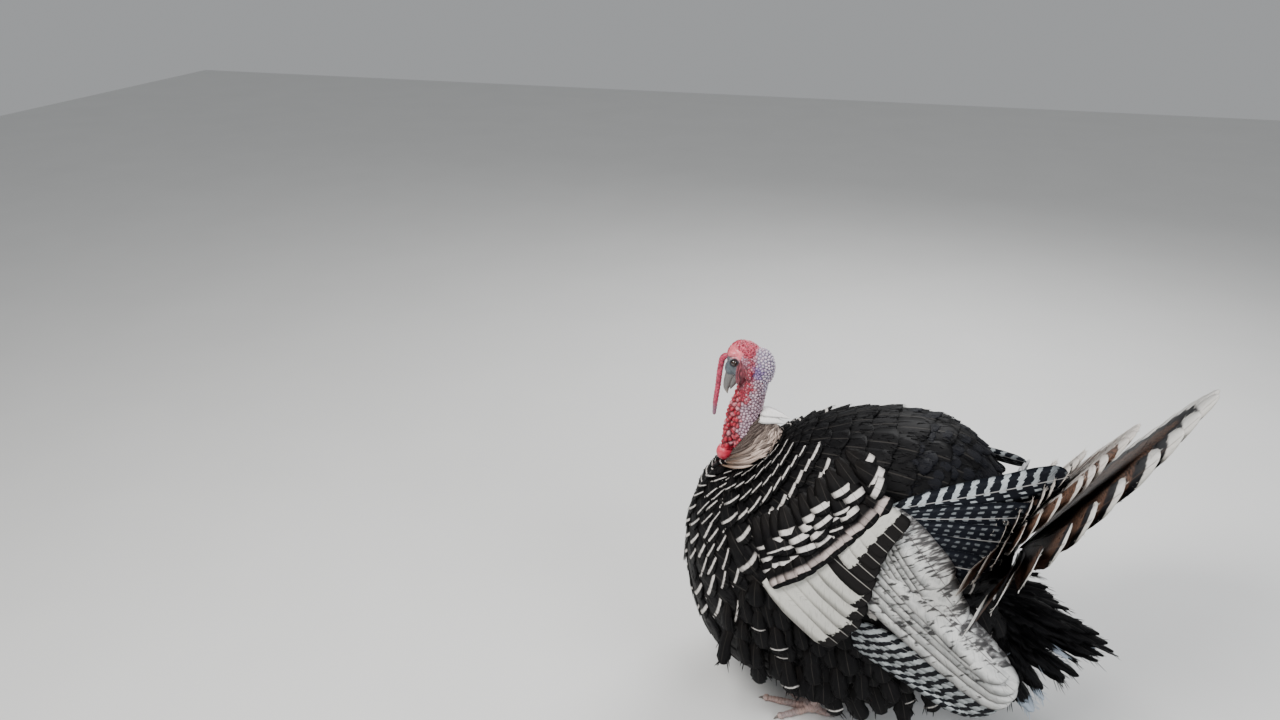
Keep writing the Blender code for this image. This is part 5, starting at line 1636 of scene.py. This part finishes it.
# %% Lay the wings
PRIMARY_ROOTS = ((-0.050, -0.223, 0.322), (0.010, -0.223, 0.322))
PRIMARY_TIPS = (
    (0.228, -0.219, 0.162), (0.254, -0.219, 0.157), (0.276, -0.219, 0.172), (0.289, -0.222, 0.196),
)
SECONDARY_ROOTS = (
    (-0.046, -0.230, 0.458), (-0.019, -0.224, 0.483), (0.007, -0.217, 0.511), (0.031, -0.210, 0.533),
    (0.049, -0.204, 0.554),
)
SECONDARY_TIPS = (
    (0.291, -0.236, 0.206), (0.300, -0.233, 0.233), (0.271, -0.230, 0.273), (0.227, -0.227, 0.303),
    (0.189, -0.223, 0.360), (0.157, -0.218, 0.426),
)
COVERT_ROOTS = (
    (-0.152, -0.244, 0.396), (-0.110, -0.235, 0.435), (-0.061, -0.226, 0.475), (-0.014, -0.217, 0.517),
    (0.027, -0.208, 0.558),
)
COVERT_TIPS = (
    (-0.013, -0.256, 0.292), (0.019, -0.252, 0.330), (0.031, -0.248, 0.386), (0.038, -0.242, 0.436),
    (0.054, -0.234, 0.486), (0.076, -0.226, 0.525),
)
MEDIAN_ROOTS = (
    (-0.148, -0.236, 0.432), (-0.095, -0.228, 0.464), (-0.047, -0.214, 0.512), (-0.001, -0.196, 0.574),
)
MEDIAN_TIPS = (
    (-0.116, -0.254, 0.397), (-0.085, -0.253, 0.416), (-0.035, -0.243, 0.463), (-0.006, -0.231, 0.494),
    (0.050, -0.216, 0.559),
)
TERTIAL_ROOTS = (
    (0.044, -0.212, 0.476), (0.055, -0.203, 0.502), (0.056, -0.195, 0.525), (0.054, -0.186, 0.544),
)
TERTIAL_TIPS = (
    (0.222, -0.180, 0.440), (0.255, -0.150, 0.462), (0.292, -0.118, 0.505), (0.345, -0.075, 0.592),
)
WING_FACE = np.array((0.0, -1.0, 0.12))


def add_both(coats, grid, stations, row, rows, bar):
    """Adds a row to the left wing and its mirror image to the right wing."""
    tone = RNG.random(len(grid))
    patches, size = strips(len(grid), row, rows)
    coats[0].add(grid, stations, tone, bar, patches, size)
    coats[1].add(tucked(mirrored(grid)), stations, tone, bar, patches, size, flip=True)


WING_ROWS = (
    ("primary", PRIMARY_ROOTS, PRIMARY_TIPS, 7, 0.042, 0.0018, 0.004),
    ("secondary", SECONDARY_ROOTS, SECONDARY_TIPS, 10, 0.070, 0.0028, 0.005),
    ("tertial", TERTIAL_ROOTS, TERTIAL_TIPS, 5, 0.060, 0.003, 0.006),
    ("covert", COVERT_ROOTS, COVERT_TIPS, 11, 0.052, 0.0022, 0.005),
    ("median", MEDIAN_ROOTS, MEDIAN_TIPS, 11, 0.042, 0.0026, 0.006),
)
LESSER_ROWS = 3
LESSER_STEP = np.array((-0.0105, 0.003, 0.019))
LESSER_SUNK = np.array((-0.004, 0.017, 0.004))
LESSER_SCATTER = 0.0055
LESSER_WIDTH = 0.044
LESSER_HEIGHTS = (0.095, 0.082, 0.070)
LESSER_PRESSED = 0.30


def pressed(grid, limit):
    """Brings feathers down on the body where they would stand off it by more than a limit."""
    low = grid.reshape(-1, 3).copy()
    for i, place in enumerate(low):
        spot, out, _, _ = CORE.find_nearest(Vector(place))
        above = (Vector(place) - spot).dot(out) - limit
        if above > 0:
            low[i] -= np.array(out) * above * (1 - LESSER_PRESSED)
    return low.reshape(grid.shape)


def through(points, count):
    """A straight line through two points, or a smooth one through more."""
    return line_between(*points, count) if len(points) == 2 else curve_through(points, count)


def lay_wings():
    """All the feathers of both wings, sorted by their finish."""
    coats = {name: (Coat(), Coat()) for name, *_ in WING_ROWS}
    coats["lesser"] = (Coat(), Coat())
    for name, roots, tips, count, width, lift, arch in WING_ROWS:
        roots, tips = through(roots, count), through(tips, count)
        grid = stiff_feathers(roots, tips, WING_FACE, width, lift, arch, 0.002)
        add_both(coats[name], grid, LONG_STATIONS, 0, 1, np.linspace(0, 1, count))
    for row in range(LESSER_ROWS, 0, -1):
        count = 10 + row % 2
        back = LESSER_STEP * row + np.array((0, 0.0016 * row * row, 0))
        roots = through(MEDIAN_ROOTS, count) + back + LESSER_SUNK
        tips = through(MEDIAN_TIPS, count) + back
        tips += RNG.normal(0, LESSER_SCATTER, tips.shape) * np.array((1, 0.1, 1))
        face = WING_FACE + np.array((0, 0, 0.10 * row))
        grid = stiff_feathers(roots, tips, face, LESSER_WIDTH, 0.002, 0.004, 0.003, 0.08, BODY_SHAPE)
        grid = pressed(grid, LESSER_HEIGHTS[row - 1])
        bars = 0.04 + 0.15 * RNG.random(count)
        add_both(coats["lesser"], grid, LONG_STATIONS, row - 1, LESSER_ROWS, bars)
    return coats


WING_FINISHES = {
    "secondary": mottled_finish("wing_secondary"),
    "covert": covert_finish("wing_covert"),
    "median": median_finish("wing_median"),
    "lesser": barred_black("wing_lesser"),
    "primary": barred_finish("wing_primary"),
    "tertial": tertial_finish("wing_tertial"),
}
wings = lay_wings()
for side, word in enumerate(("left", "right")):
    for name, finish in WING_FINISHES.items():
        slot = "flight_feathers" if name == "primary" else "wing_feathers"
        nodes = {"secondary": ("wing_" + word,), "primary": ("hand_" + word,)}.get(name, ())
        wings[name][side].build(name + "_" + word, finish, slot, nodes)

# %% [markdown]
# The tail is a raised fan. Its rows are stacked from the longest at the back to the shortest in
# front, and each feather lies in the fan's own plane, tilted a little so that its edge clears the
# next. The whole fan leans over, as the strutting bird turns it, and the feathers on its left are
# twisted a little about their own length.

# %% Raise the tail
TAIL_ROLL = math.radians(22)
TAIL_TIERS = (
    ("rectrix", (0.300, 0, 0.370), 55, 0.468, 0.17, -80, 88, 19, 0.086),
    ("covert", (0.262, 0, 0.398), 54, 0.335, 0.16, -80, 90, 21, 0.066),
    ("short", (0.248, 0, 0.402), 57, 0.240, 0.10, -78, 64, 17, 0.054),
    ("short", (0.236, 0, 0.408), 60, 0.190, 0.08, -74, 60, 15, 0.046),
    ("tip", (0.226, 0, 0.425), 68, 0.158, 0.20, -52, 60, 15, 0.040),
)
TAIL_TWIST = math.radians(-17)
FAN_INNER = 0.030

def fan_frame(rise):
    """The fan's own up, left and front."""
    up = Vector((math.cos(rise), 0, math.sin(rise)))
    ahead = Vector((-up.z, 0, up.x))
    left = Vector((0, -1, 0)) * math.cos(TAIL_ROLL) + ahead * math.sin(TAIL_ROLL)
    return up, left, left.cross(up)


def fan_tier(root, rise, length, shrink, right, left_end, count, width, arch=0.006):
    """One row of the fan as a grid of points, from the bird's right to its left.

    Each tier says where it springs from, how far it rises, its length, how much shorter its sides
    are, where it ends on the right and on the left, and how many feathers it has.
    """
    up, left, front = [np.array(v) for v in fan_frame(math.radians(rise))]
    degrees = np.linspace(right, left_end, count) + RNG.normal(0, 0.7, count)
    angles = np.radians(degrees)
    ray = np.cos(angles)[:, None] * up + np.sin(angles)[:, None] * left
    reach = length * (1 - shrink * np.abs(np.sin(angles))) * (1 + 0.03 * (RNG.random(count) - 0.5))
    roots = np.array(root) + ray * FAN_INNER
    tips = np.array(root) + ray * reach[:, None]
    twist = TAIL_TWIST * np.clip((degrees + 30) / 60, 0, 1)
    return stiff_feathers(roots, tips, -front, width, 0.0024, arch, 0.002, turn=-1.0, twist=twist)


tail = {kind: Coat() for kind, *_ in TAIL_TIERS}
for row, (kind, *tier) in enumerate(TAIL_TIERS):
    grid = fan_tier(*tier)
    patches, size = strips(len(grid), row - 2 if kind == "short" else 0, 2 if kind == "short" else 1)
    tail[kind].add(grid, LONG_STATIONS, *shades(len(grid)), patches, size)
    if kind != "tip":
        tail[kind].fringe(grid, 36, 0.001, 0.010, 0.0, patches, 0.5)
tail["rectrix"].build("tail_fan", rectrix_finish("tail_rectrix"), "tail_feathers", ("tail_feathers",))
long_covert, short_covert = tail_covert_finish("tail_covert", 0.93), tail_covert_finish("tail_short", 0.80)
tail["covert"].build("tail_covert_row", long_covert, "tail_coverts", ("tail_coverts",))
tail["short"].build("tail_short_rows", short_covert, "tail_coverts")
tail["tip"].build("rump_tips", tipped_black("rump_tipped", 0.82, (0.60, 0.60, 0.62), 1.1), "tail_coverts")

# %% [markdown]
# Under the tail, fluffy black feathers stream back from the vent. They lie in six layers that get
# shorter upwards, and some tips in the lower layers are pale, in a darker blue-grey of painted shade.

# %% Fill the space under the tail
UNDERTAIL_TIPS = (
    (0.530, 0, 0.178), (0.470, -0.055, 0.168), (0.400, -0.100, 0.140), (0.325, -0.130, 0.100),
)
UNDER_ROWS = (
    (15, 1.0, 0.50), (17, 0.90, 0.30), (17, 0.80, 0.10), (17, 0.69, 0.05), (15, 0.58, 0), (13, 0.46, 0),
)
UNDER_SHAPE = ((0, 0.40), (0.15, 0.75), (0.45, 1.0), (0.75, 0.92), (0.9, 0.66), (0.97, 0.42), (1, 0.15))
UNDER_FACE = (-0.35, 0, 1.0)
VENT_X = 0.225
VENT_LOW = 0.238
VENT_STEP = 0.011


def undertail_feathers():
    """Fluffy black feathers that stream from the vent in six layers, each shorter and higher."""
    under = Coat()
    outer = [(x, side * abs(y), z) for x, y, z in UNDERTAIL_TIPS for side in ((-1, 1) if y else (1,))]
    order = np.array(sorted(outer, key=lambda place: place[1]))
    for row, (count, share, tipped) in enumerate(UNDER_ROWS):
        tips = curve_through(order, count)
        level = np.full(count, VENT_LOW + VENT_STEP * row)
        roots = np.stack([np.full(count, VENT_X), tips[:, 1] * 0.50, level], axis=1)
        share = share * (0.90 + 0.10 * RNG.random((count, 1)))
        tips = roots + (tips - roots) * share + np.array((0, 0, 0.012 * row))
        tips = tips + RNG.normal(0, 0.007, (count, 3))
        wide = 0.040 + 0.020 * RNG.random(count)
        sweep = RNG.normal(0, 0.012, count)
        quill = (wide, 0.003, 0.010, 0.006, 0.34, UNDER_SHAPE)
        grid = stiff_feathers(roots, tips, UNDER_FACE, *quill, sweep=sweep)
        patches, size = strips(count, row, len(UNDER_ROWS))
        tipped = (RNG.random(count) < tipped) * 1.0
        under.add(grid, LONG_STATIONS, RNG.random(count), tipped, patches, size)
        under.fringe(grid, 32, 0.0011, 0.020, tipped, patches)
    return under


# The pale tip is painted darker and bluer than the rump's white tips: painted shade under the tail.
under_finish = tipped_black("undertail_tipped", 0.88, (0.50, 0.57, 0.66), 0.5)
undertail_feathers().build("undertail", under_finish, "plumage", ("undertail_coverts",))

# %% [markdown]
# Eyes, beak and snood are separate. The eye is a dark glossy ball. The beak is a short curved horn
# with a nostril in its soft base. The snood is a wrinkled finger of skin that hangs in front.

# %% Eyes, beak and snood
BEAK_LINE = (
    (-0.264, 0, 0.696), (-0.270, 0, 0.681), (-0.2755, 0, 0.665), (-0.2785, 0, 0.650),
    (-0.2765, 0, 0.6375),
)
BEAK_RADII = (0.0125, 0.0115, 0.009, 0.006, 0.0012)
LOWER_LINE = ((-0.256, 0, 0.684), (-0.262, 0, 0.672), (-0.267, 0, 0.660), (-0.2705, 0, 0.648))
LOWER_RADII = (0.0105, 0.0092, 0.0066, 0.0014)
SNOOD_PATH = (
    (-0.274, 0, 0.718), (-0.287, 0, 0.712), (-0.2925, 0, 0.685), (-0.295, 0, 0.655), (-0.299, 0, 0.620),
    (-0.301, 0, 0.591),
)
SNOOD_RADII = (0.0052, 0.006, 0.0058, 0.0054, 0.005, 0.0036)
SNOOD_SIDES = 28
FINE_VOXEL = 0.0006


def eye_finish():
    """A brown iris so dark that the pupil hardly shows, under a wet surface."""
    f = Finish("turkey_eye", 0.08, Coat_Weight=1.0, Coat_Roughness=0.02, Coat_IOR=1.38)
    at = f.place()
    x, z = f.part(at, 0) - (EYE.x + SHIFT.x), f.part(at, 2) - (EYE.z + SHIFT.z)
    far = (x * x + z * z).math("SQRT")
    iris = f.mix((0.010, 0.006, 0.005), (0.042, 0.019, 0.010), far.step(0.0022, 0.0028))
    return f.use(Base_Color=f.mix(iris, (0.008, 0.006, 0.006), far.step(0.004, 0.0048)))


def horn_finish():
    """Grey horn, bluish where the beak is soft and paler at its tip."""
    f = Finish("beak_horn", 0.34, Coat_Weight=0.25)
    at = f.place()
    z = f.part(at, 2)
    grain = f.noise(at, 420.0, 3.0)
    horn = f.mix((0.085, 0.082, 0.085), (0.19, 0.18, 0.17), grain)
    soft = f.mix(horn, (0.17, 0.20, 0.23), z.step(0.680, 0.694))
    tip = f.mix(soft, (0.26, 0.24, 0.21), 1.0 - z.step(0.640, 0.652))
    return f.use(Base_Color=tip, Normal=f.bump(grain, 0.0003))


def snood_finish():
    """Mottled red skin that turns greyish at the lower end."""
    f = Finish("snood_skin", 0.38, Subsurface_Weight=0.15, Subsurface_Scale=0.002, Coat_Weight=0.2)
    at = f.place()
    z = f.part(at, 2)
    mottle = f.noise(at, 260.0, 3.0)
    red = f.mix((0.50, 0.055, 0.110), (0.20, 0.014, 0.038), mottle.step(0.40, 0.66))
    grey = f.mix(red, (0.22, 0.105, 0.150), 1.0 - z.step(0.598, 0.625))
    return f.use(Base_Color=grey, Normal=f.bump(mottle, 0.0006))


def wrinkled_snood():
    """The snood with rings of wrinkles."""
    obj = tube(SNOOD_PATH, SNOOD_RADII, 150, SNOOD_SIDES)
    places, outward = points_of(obj), points_of(obj, "normal")
    rings = np.arange(len(places)) // SNOOD_SIDES
    swing = [math.sin(i * 0.92) * 0.5 + noise.noise(Vector(p) * 260.0) for i, p in zip(rings, places)]
    move_points(obj, places + outward * (np.array(swing) * 0.00055)[:, None])
    cap = ball(SNOOD_PATH[-1], (0.0036, 0.0036, 0.0042), 0, 24, 16)
    return melt(join([obj, cap], "snood"), FINE_VOXEL)


def beak_half(line, radii, flat):
    """One half of the beak, narrower than it is high, with a rounded tip."""
    obj = tube(line, radii, 60, 32, flat)
    cap = ball(line[-1], (radii[-1], radii[-1] * flat, radii[-1]), 0, 16, 12)
    return melt(join([obj, cap], "beak"), FINE_VOXEL)


eye_look = eye_finish()
for side, word in ((-1, "left"), (1, "right")):
    eyeball = ball((EYE.x, side * abs(EYE.y), EYE.z), (EYE_RADIUS,) * 3, 0, 48, 32)
    finish_piece(eyeball, "eyeball_" + word, eye_look, ("eye_" + word,))
horn = horn_finish()
upper = beak_half(BEAK_LINE, BEAK_RADII, 0.74)
for side in SIDES:
    nostril = ball((-0.2715, side * 0.0085, 0.684), (0.0034, 0.003, 0.0014), math.radians(62), 20, 14)
    combine(upper, nostril, "DIFFERENCE")
finish_piece(upper, "upper_beak", horn, ("beak_upper",))
finish_piece(beak_half(LOWER_LINE, LOWER_RADII, 0.80), "lower_beak", horn, ("beak_lower",))
finish_piece(wrinkled_snood(), "hanging_snood", snood_finish(), ("snood",))

# %% [markdown]
# The beard is a tassel of stiff black bristles, thin as wire, that hangs from the breast's middle.

# %% Beard
BEARD_ROOT = (-0.337, 0, 0.355)
BEARD_TIP = (-0.345, 0, 0.235)
BRISTLES = 420
BRISTLE_WIDTH = 0.0006
BRISTLE_RIDGE = np.array([0, 0.0002, 0.0003, 0.0002, 0, -0.0003])
BRISTLE_STATIONS = np.linspace(0, 1, 9)
BRISTLE_SHAPE = ((0, 0.8), (0.6, 1.0), (0.9, 0.7), (1, 0.15))


def hanging_bristles(count):
    """Many thin blades from one root, spreading a little and ending at different heights."""
    x, y = RNG.normal(0, 1, (count, 2)).T
    start = np.stack([x * 0.0022, y * 0.0045, RNG.random(count) * 0.004], axis=1)
    roots = np.array(BEARD_ROOT) + start
    reach = 0.72 + 0.28 * RNG.random(count)
    drop = (np.array(BEARD_TIP) - np.array(BEARD_ROOT)) * reach[:, None]
    x, y = np.clip(x, -1.0, 1.0) * 0.0045, np.clip(y, -1.6, 1.6) * 0.0085
    aside = np.stack([x, y, np.zeros(count)], axis=1)
    ways = RNG.random(count) * 2 * math.pi
    out = np.stack([np.cos(ways), np.sin(ways), np.full(count, 0.05)], axis=1)
    line = roots[:, None, :] + drop[:, None, :] * BRISTLE_STATIONS[None, :, None]
    line = line + aside[:, None, :] * (BRISTLE_STATIONS**1.5)[None, :, None]
    ahead = unit(drop)
    across = unit(np.cross(ahead, out))
    face = np.cross(across, ahead)
    wide = widths(BRISTLE_SHAPE, BRISTLE_STATIONS)[None, :, None] * ACROSS * BRISTLE_WIDTH
    return spread(line, across[:, None, :], face[:, None, :], wide, BRISTLE_RIDGE[None, None, :])


beard = Coat()
grid = hanging_bristles(BRISTLES)
beard.add(grid, BRISTLE_STATIONS, *shades(BRISTLES), RNG.random((BRISTLES, 2)) * 0.99)
beard_look = Finish("beard_bristle", 0.38).use(Base_Color=(0.008, 0.007, 0.007))
beard.build("beard_bristles", beard_look, "beard", ("beard",))

# %% [markdown]
# Legs and feet carry scales: broad overlapping plates down the front of the shank and along the top of
# each toe, small round scales elsewhere, and soft pads under the toes. The spur and the claws are horn.

# %% Scaly legs, toes, claws and spurs
FEET = ((-0.055, -0.122, 0.014), (0.005, 0.116, 0.014))
TOES = (("middle", 0.094, -4.0), ("outer", 0.068, 32.0), ("inner", 0.066, -38.0), ("hind", 0.032, 172.0))
SHANK_RADII = (0.0125, 0.0112, 0.0088, 0.0102)
FOOT_RADII = (0.0175, 0.015, 0.012)
SOLE = 0.0012
SCALE_VOXEL = 0.0011
PLATE_PITCH = 0.0072
PLATE_HEIGHT = 0.00105
SMALL_SCALE = 0.003
SMALL_HEIGHT = 0.00045
SPUR_LENGTH = 0.024


def toe_line(foot, side, length, heading):
    """Places along the middle of one toe, from the foot to the claw, and the way it points."""
    turn = math.radians(heading) * side
    ahead = Vector((-math.cos(turn), math.sin(turn), 0))
    levels = (0.0105, 0.0082, 0.0072, 0.0066, 0.005)
    spots = [foot + ahead * (length * share) for share in (0.04, 0.30, 0.55, 0.80, 1.0)]
    return [(p.x, p.y, z) for p, z in zip(spots, levels)], ahead


def leg_lines(number):
    """The shank's line and the toes' lines of one leg."""
    side = SIDES[number]
    knee, hock, foot = Vector(KNEES[number]), Vector(HOCKS[number]), Vector(FEET[number])
    ankle = foot + Vector((0.004, 0, 0.010))
    shank = [tuple(hock.lerp(knee, 0.22)), tuple(hock), tuple(hock.lerp(ankle, 0.5)), tuple(ankle)]
    return shank, [(name, *toe_line(foot, side, length, heading)) for name, length, heading in TOES]


def toe_flesh(line, short):
    """A toe with a swelling at each joint and a flat sole."""
    parts = [tube(line, (0.009, 0.0068, 0.0066, 0.006, 0.0048), 30, 18)]
    for share in ((0.5, 1.0) if short else (0.34, 0.66, 1.0)):
        spot = curve_through(line, 31)[int(share * 30)]
        parts.append(ball((spot[0], spot[1], 0.0062), (0.0074, 0.0074, 0.006), 0, 20, 14))
    return parts


def plates(places, outward, line, front):
    """Height of overlapping plates along a line, how much they show, and how near the line is."""
    dense = curve_through(line, 160)
    tree, gone = tree_of(dense), gone_along(dense)
    found = [tree.find(place) for place in places]
    at = gone[[number for _, number, _ in found]]
    near = np.array([far for _, _, far in found])
    facing = outward @ np.array(front)
    step = (at / PLATE_PITCH) % 1.0
    height = np.clip((1 - step) * 1.3, 0, 1) ** 0.5 * np.clip(step * 9, 0, 1)
    return height, np.clip((facing - 0.25) / 0.25, 0, 1) * (near < 0.016), near


def scaly_leg(number, word):
    """One leg: flesh melted together, then plated and scaled."""
    shank, toes = leg_lines(number)
    parts = [tube(shank, SHANK_RADII, 40, 24, 0.9), ball(FEET[number], FOOT_RADII, 0, 24, 16)]
    for name, line, _ in toes:
        parts += toe_flesh(line, name == "hind")
    leg = melt(join(parts, "leg_" + word), SCALE_VOXEL, 4)
    places, outward = points_of(leg), points_of(leg, "normal")
    places[:, 2] = np.maximum(places[:, 2], SOLE)
    width = np.full(len(places), SMALL_SCALE)
    seeds = places[sow(places, width)]
    small, _ = knobs(places, seeds, width)
    relief, covered = np.zeros(len(places)), np.zeros(len(places))
    lines = [(shank, (-1.0, 0, 0.1))] + [(line, (0, 0, 1.0)) for _, line, _ in toes]
    nearest = np.full(len(places), 9.0)
    for line, front in lines:
        height, share, near = plates(places, outward, line, front)
        closer = near < nearest
        relief = np.where(closer, height, relief)
        covered = np.where(closer, share, covered)
        nearest = np.minimum(near, nearest)
    height = relief * covered * PLATE_HEIGHT + small * (1 - covered) * SMALL_HEIGHT
    move_points(leg, places + outward * height[:, None])
    shade = relief * covered + small * (1 - covered)
    made = leg.data.attributes.new("scale", "FLOAT", "POINT")
    made.data.foreach_set("value", shade.astype(np.float32))
    return leg, toes


def claw(line_end, ahead):
    """A blunt, slightly curved claw."""
    ground = Vector((line_end[0], line_end[1], 0))
    bends = ((-0.004, 0.0056), (0.003, 0.0062), (0.010, 0.0046), (0.016, 0.0016))
    path = [tuple(ground + ahead * along + Vector((0, 0, up))) for along, up in bends]
    return tube(path, (0.004, 0.0038, 0.0026, 0.0007), 24, 16, 0.8)


def spur(number):
    """A short horn that points backwards from the shank."""
    side = SIDES[number]
    hock, ankle = Vector(HOCKS[number]), Vector(FEET[number]) + Vector((0.004, 0, 0.012))
    root, back = hock.lerp(ankle, 0.62), Vector((1.0, -0.25 * side, 0.15)).normalized()
    path = []
    for reach in (0.002, 0.012, 0.019, SPUR_LENGTH):
        path.append(tuple(root + back * reach + Vector((0, 0, 0.003 * (reach / SPUR_LENGTH) ** 2))))
    return tube(path, (0.0056, 0.0046, 0.0028, 0.0007), 24, 16)


def scale_finish():
    """Pinkish-grey scales with darker joints between them."""
    f = Finish("leg_scale", 0.46, Coat_Weight=0.12, Subsurface_Weight=0.05, Subsurface_Scale=0.002)
    at = f.place()
    scale = f.attribute("scale")
    patch = f.noise(at, 38.0, 3.0)
    pale = f.mix((0.50, 0.34, 0.30), (0.36, 0.28, 0.27), patch.step(0.35, 0.65))
    dusty = f.mix(pale, (0.20, 0.17, 0.165), f.noise(at, 160.0, 3.0).step(0.52, 0.75) * 0.6)
    colour = f.mix((0.085, 0.062, 0.058), dusty, scale.step(0.05, 0.55))
    return f.use(Base_Color=colour, Normal=f.bump(f.noise(at, 900.0), 0.0002))


def claw_finish():
    """Dark brown horn with paler clouds."""
    f = Finish("claw_horn", 0.36, Coat_Weight=0.2)
    at = f.place()
    return f.use(Base_Color=f.mix((0.060, 0.050, 0.046), (0.21, 0.17, 0.145), f.noise(at, 120.0, 3.0)))


scale_look, claw_look = scale_finish(), claw_finish()
for number, word in enumerate(("left", "right")):
    leg, toes = scaly_leg(number, word)
    finish_piece(leg, "scaly_leg_" + word, scale_look, ("shank_" + word, "foot_" + word))
    finish_piece(spur(number), "horn_spur_" + word, claw_look, ("spur_" + word,))
    for name, line, ahead in toes:
        label = "claw_%s_%s" % (name, word)
        finish_piece(claw(line[-1], ahead), "horn_" + label, claw_look, (label,))
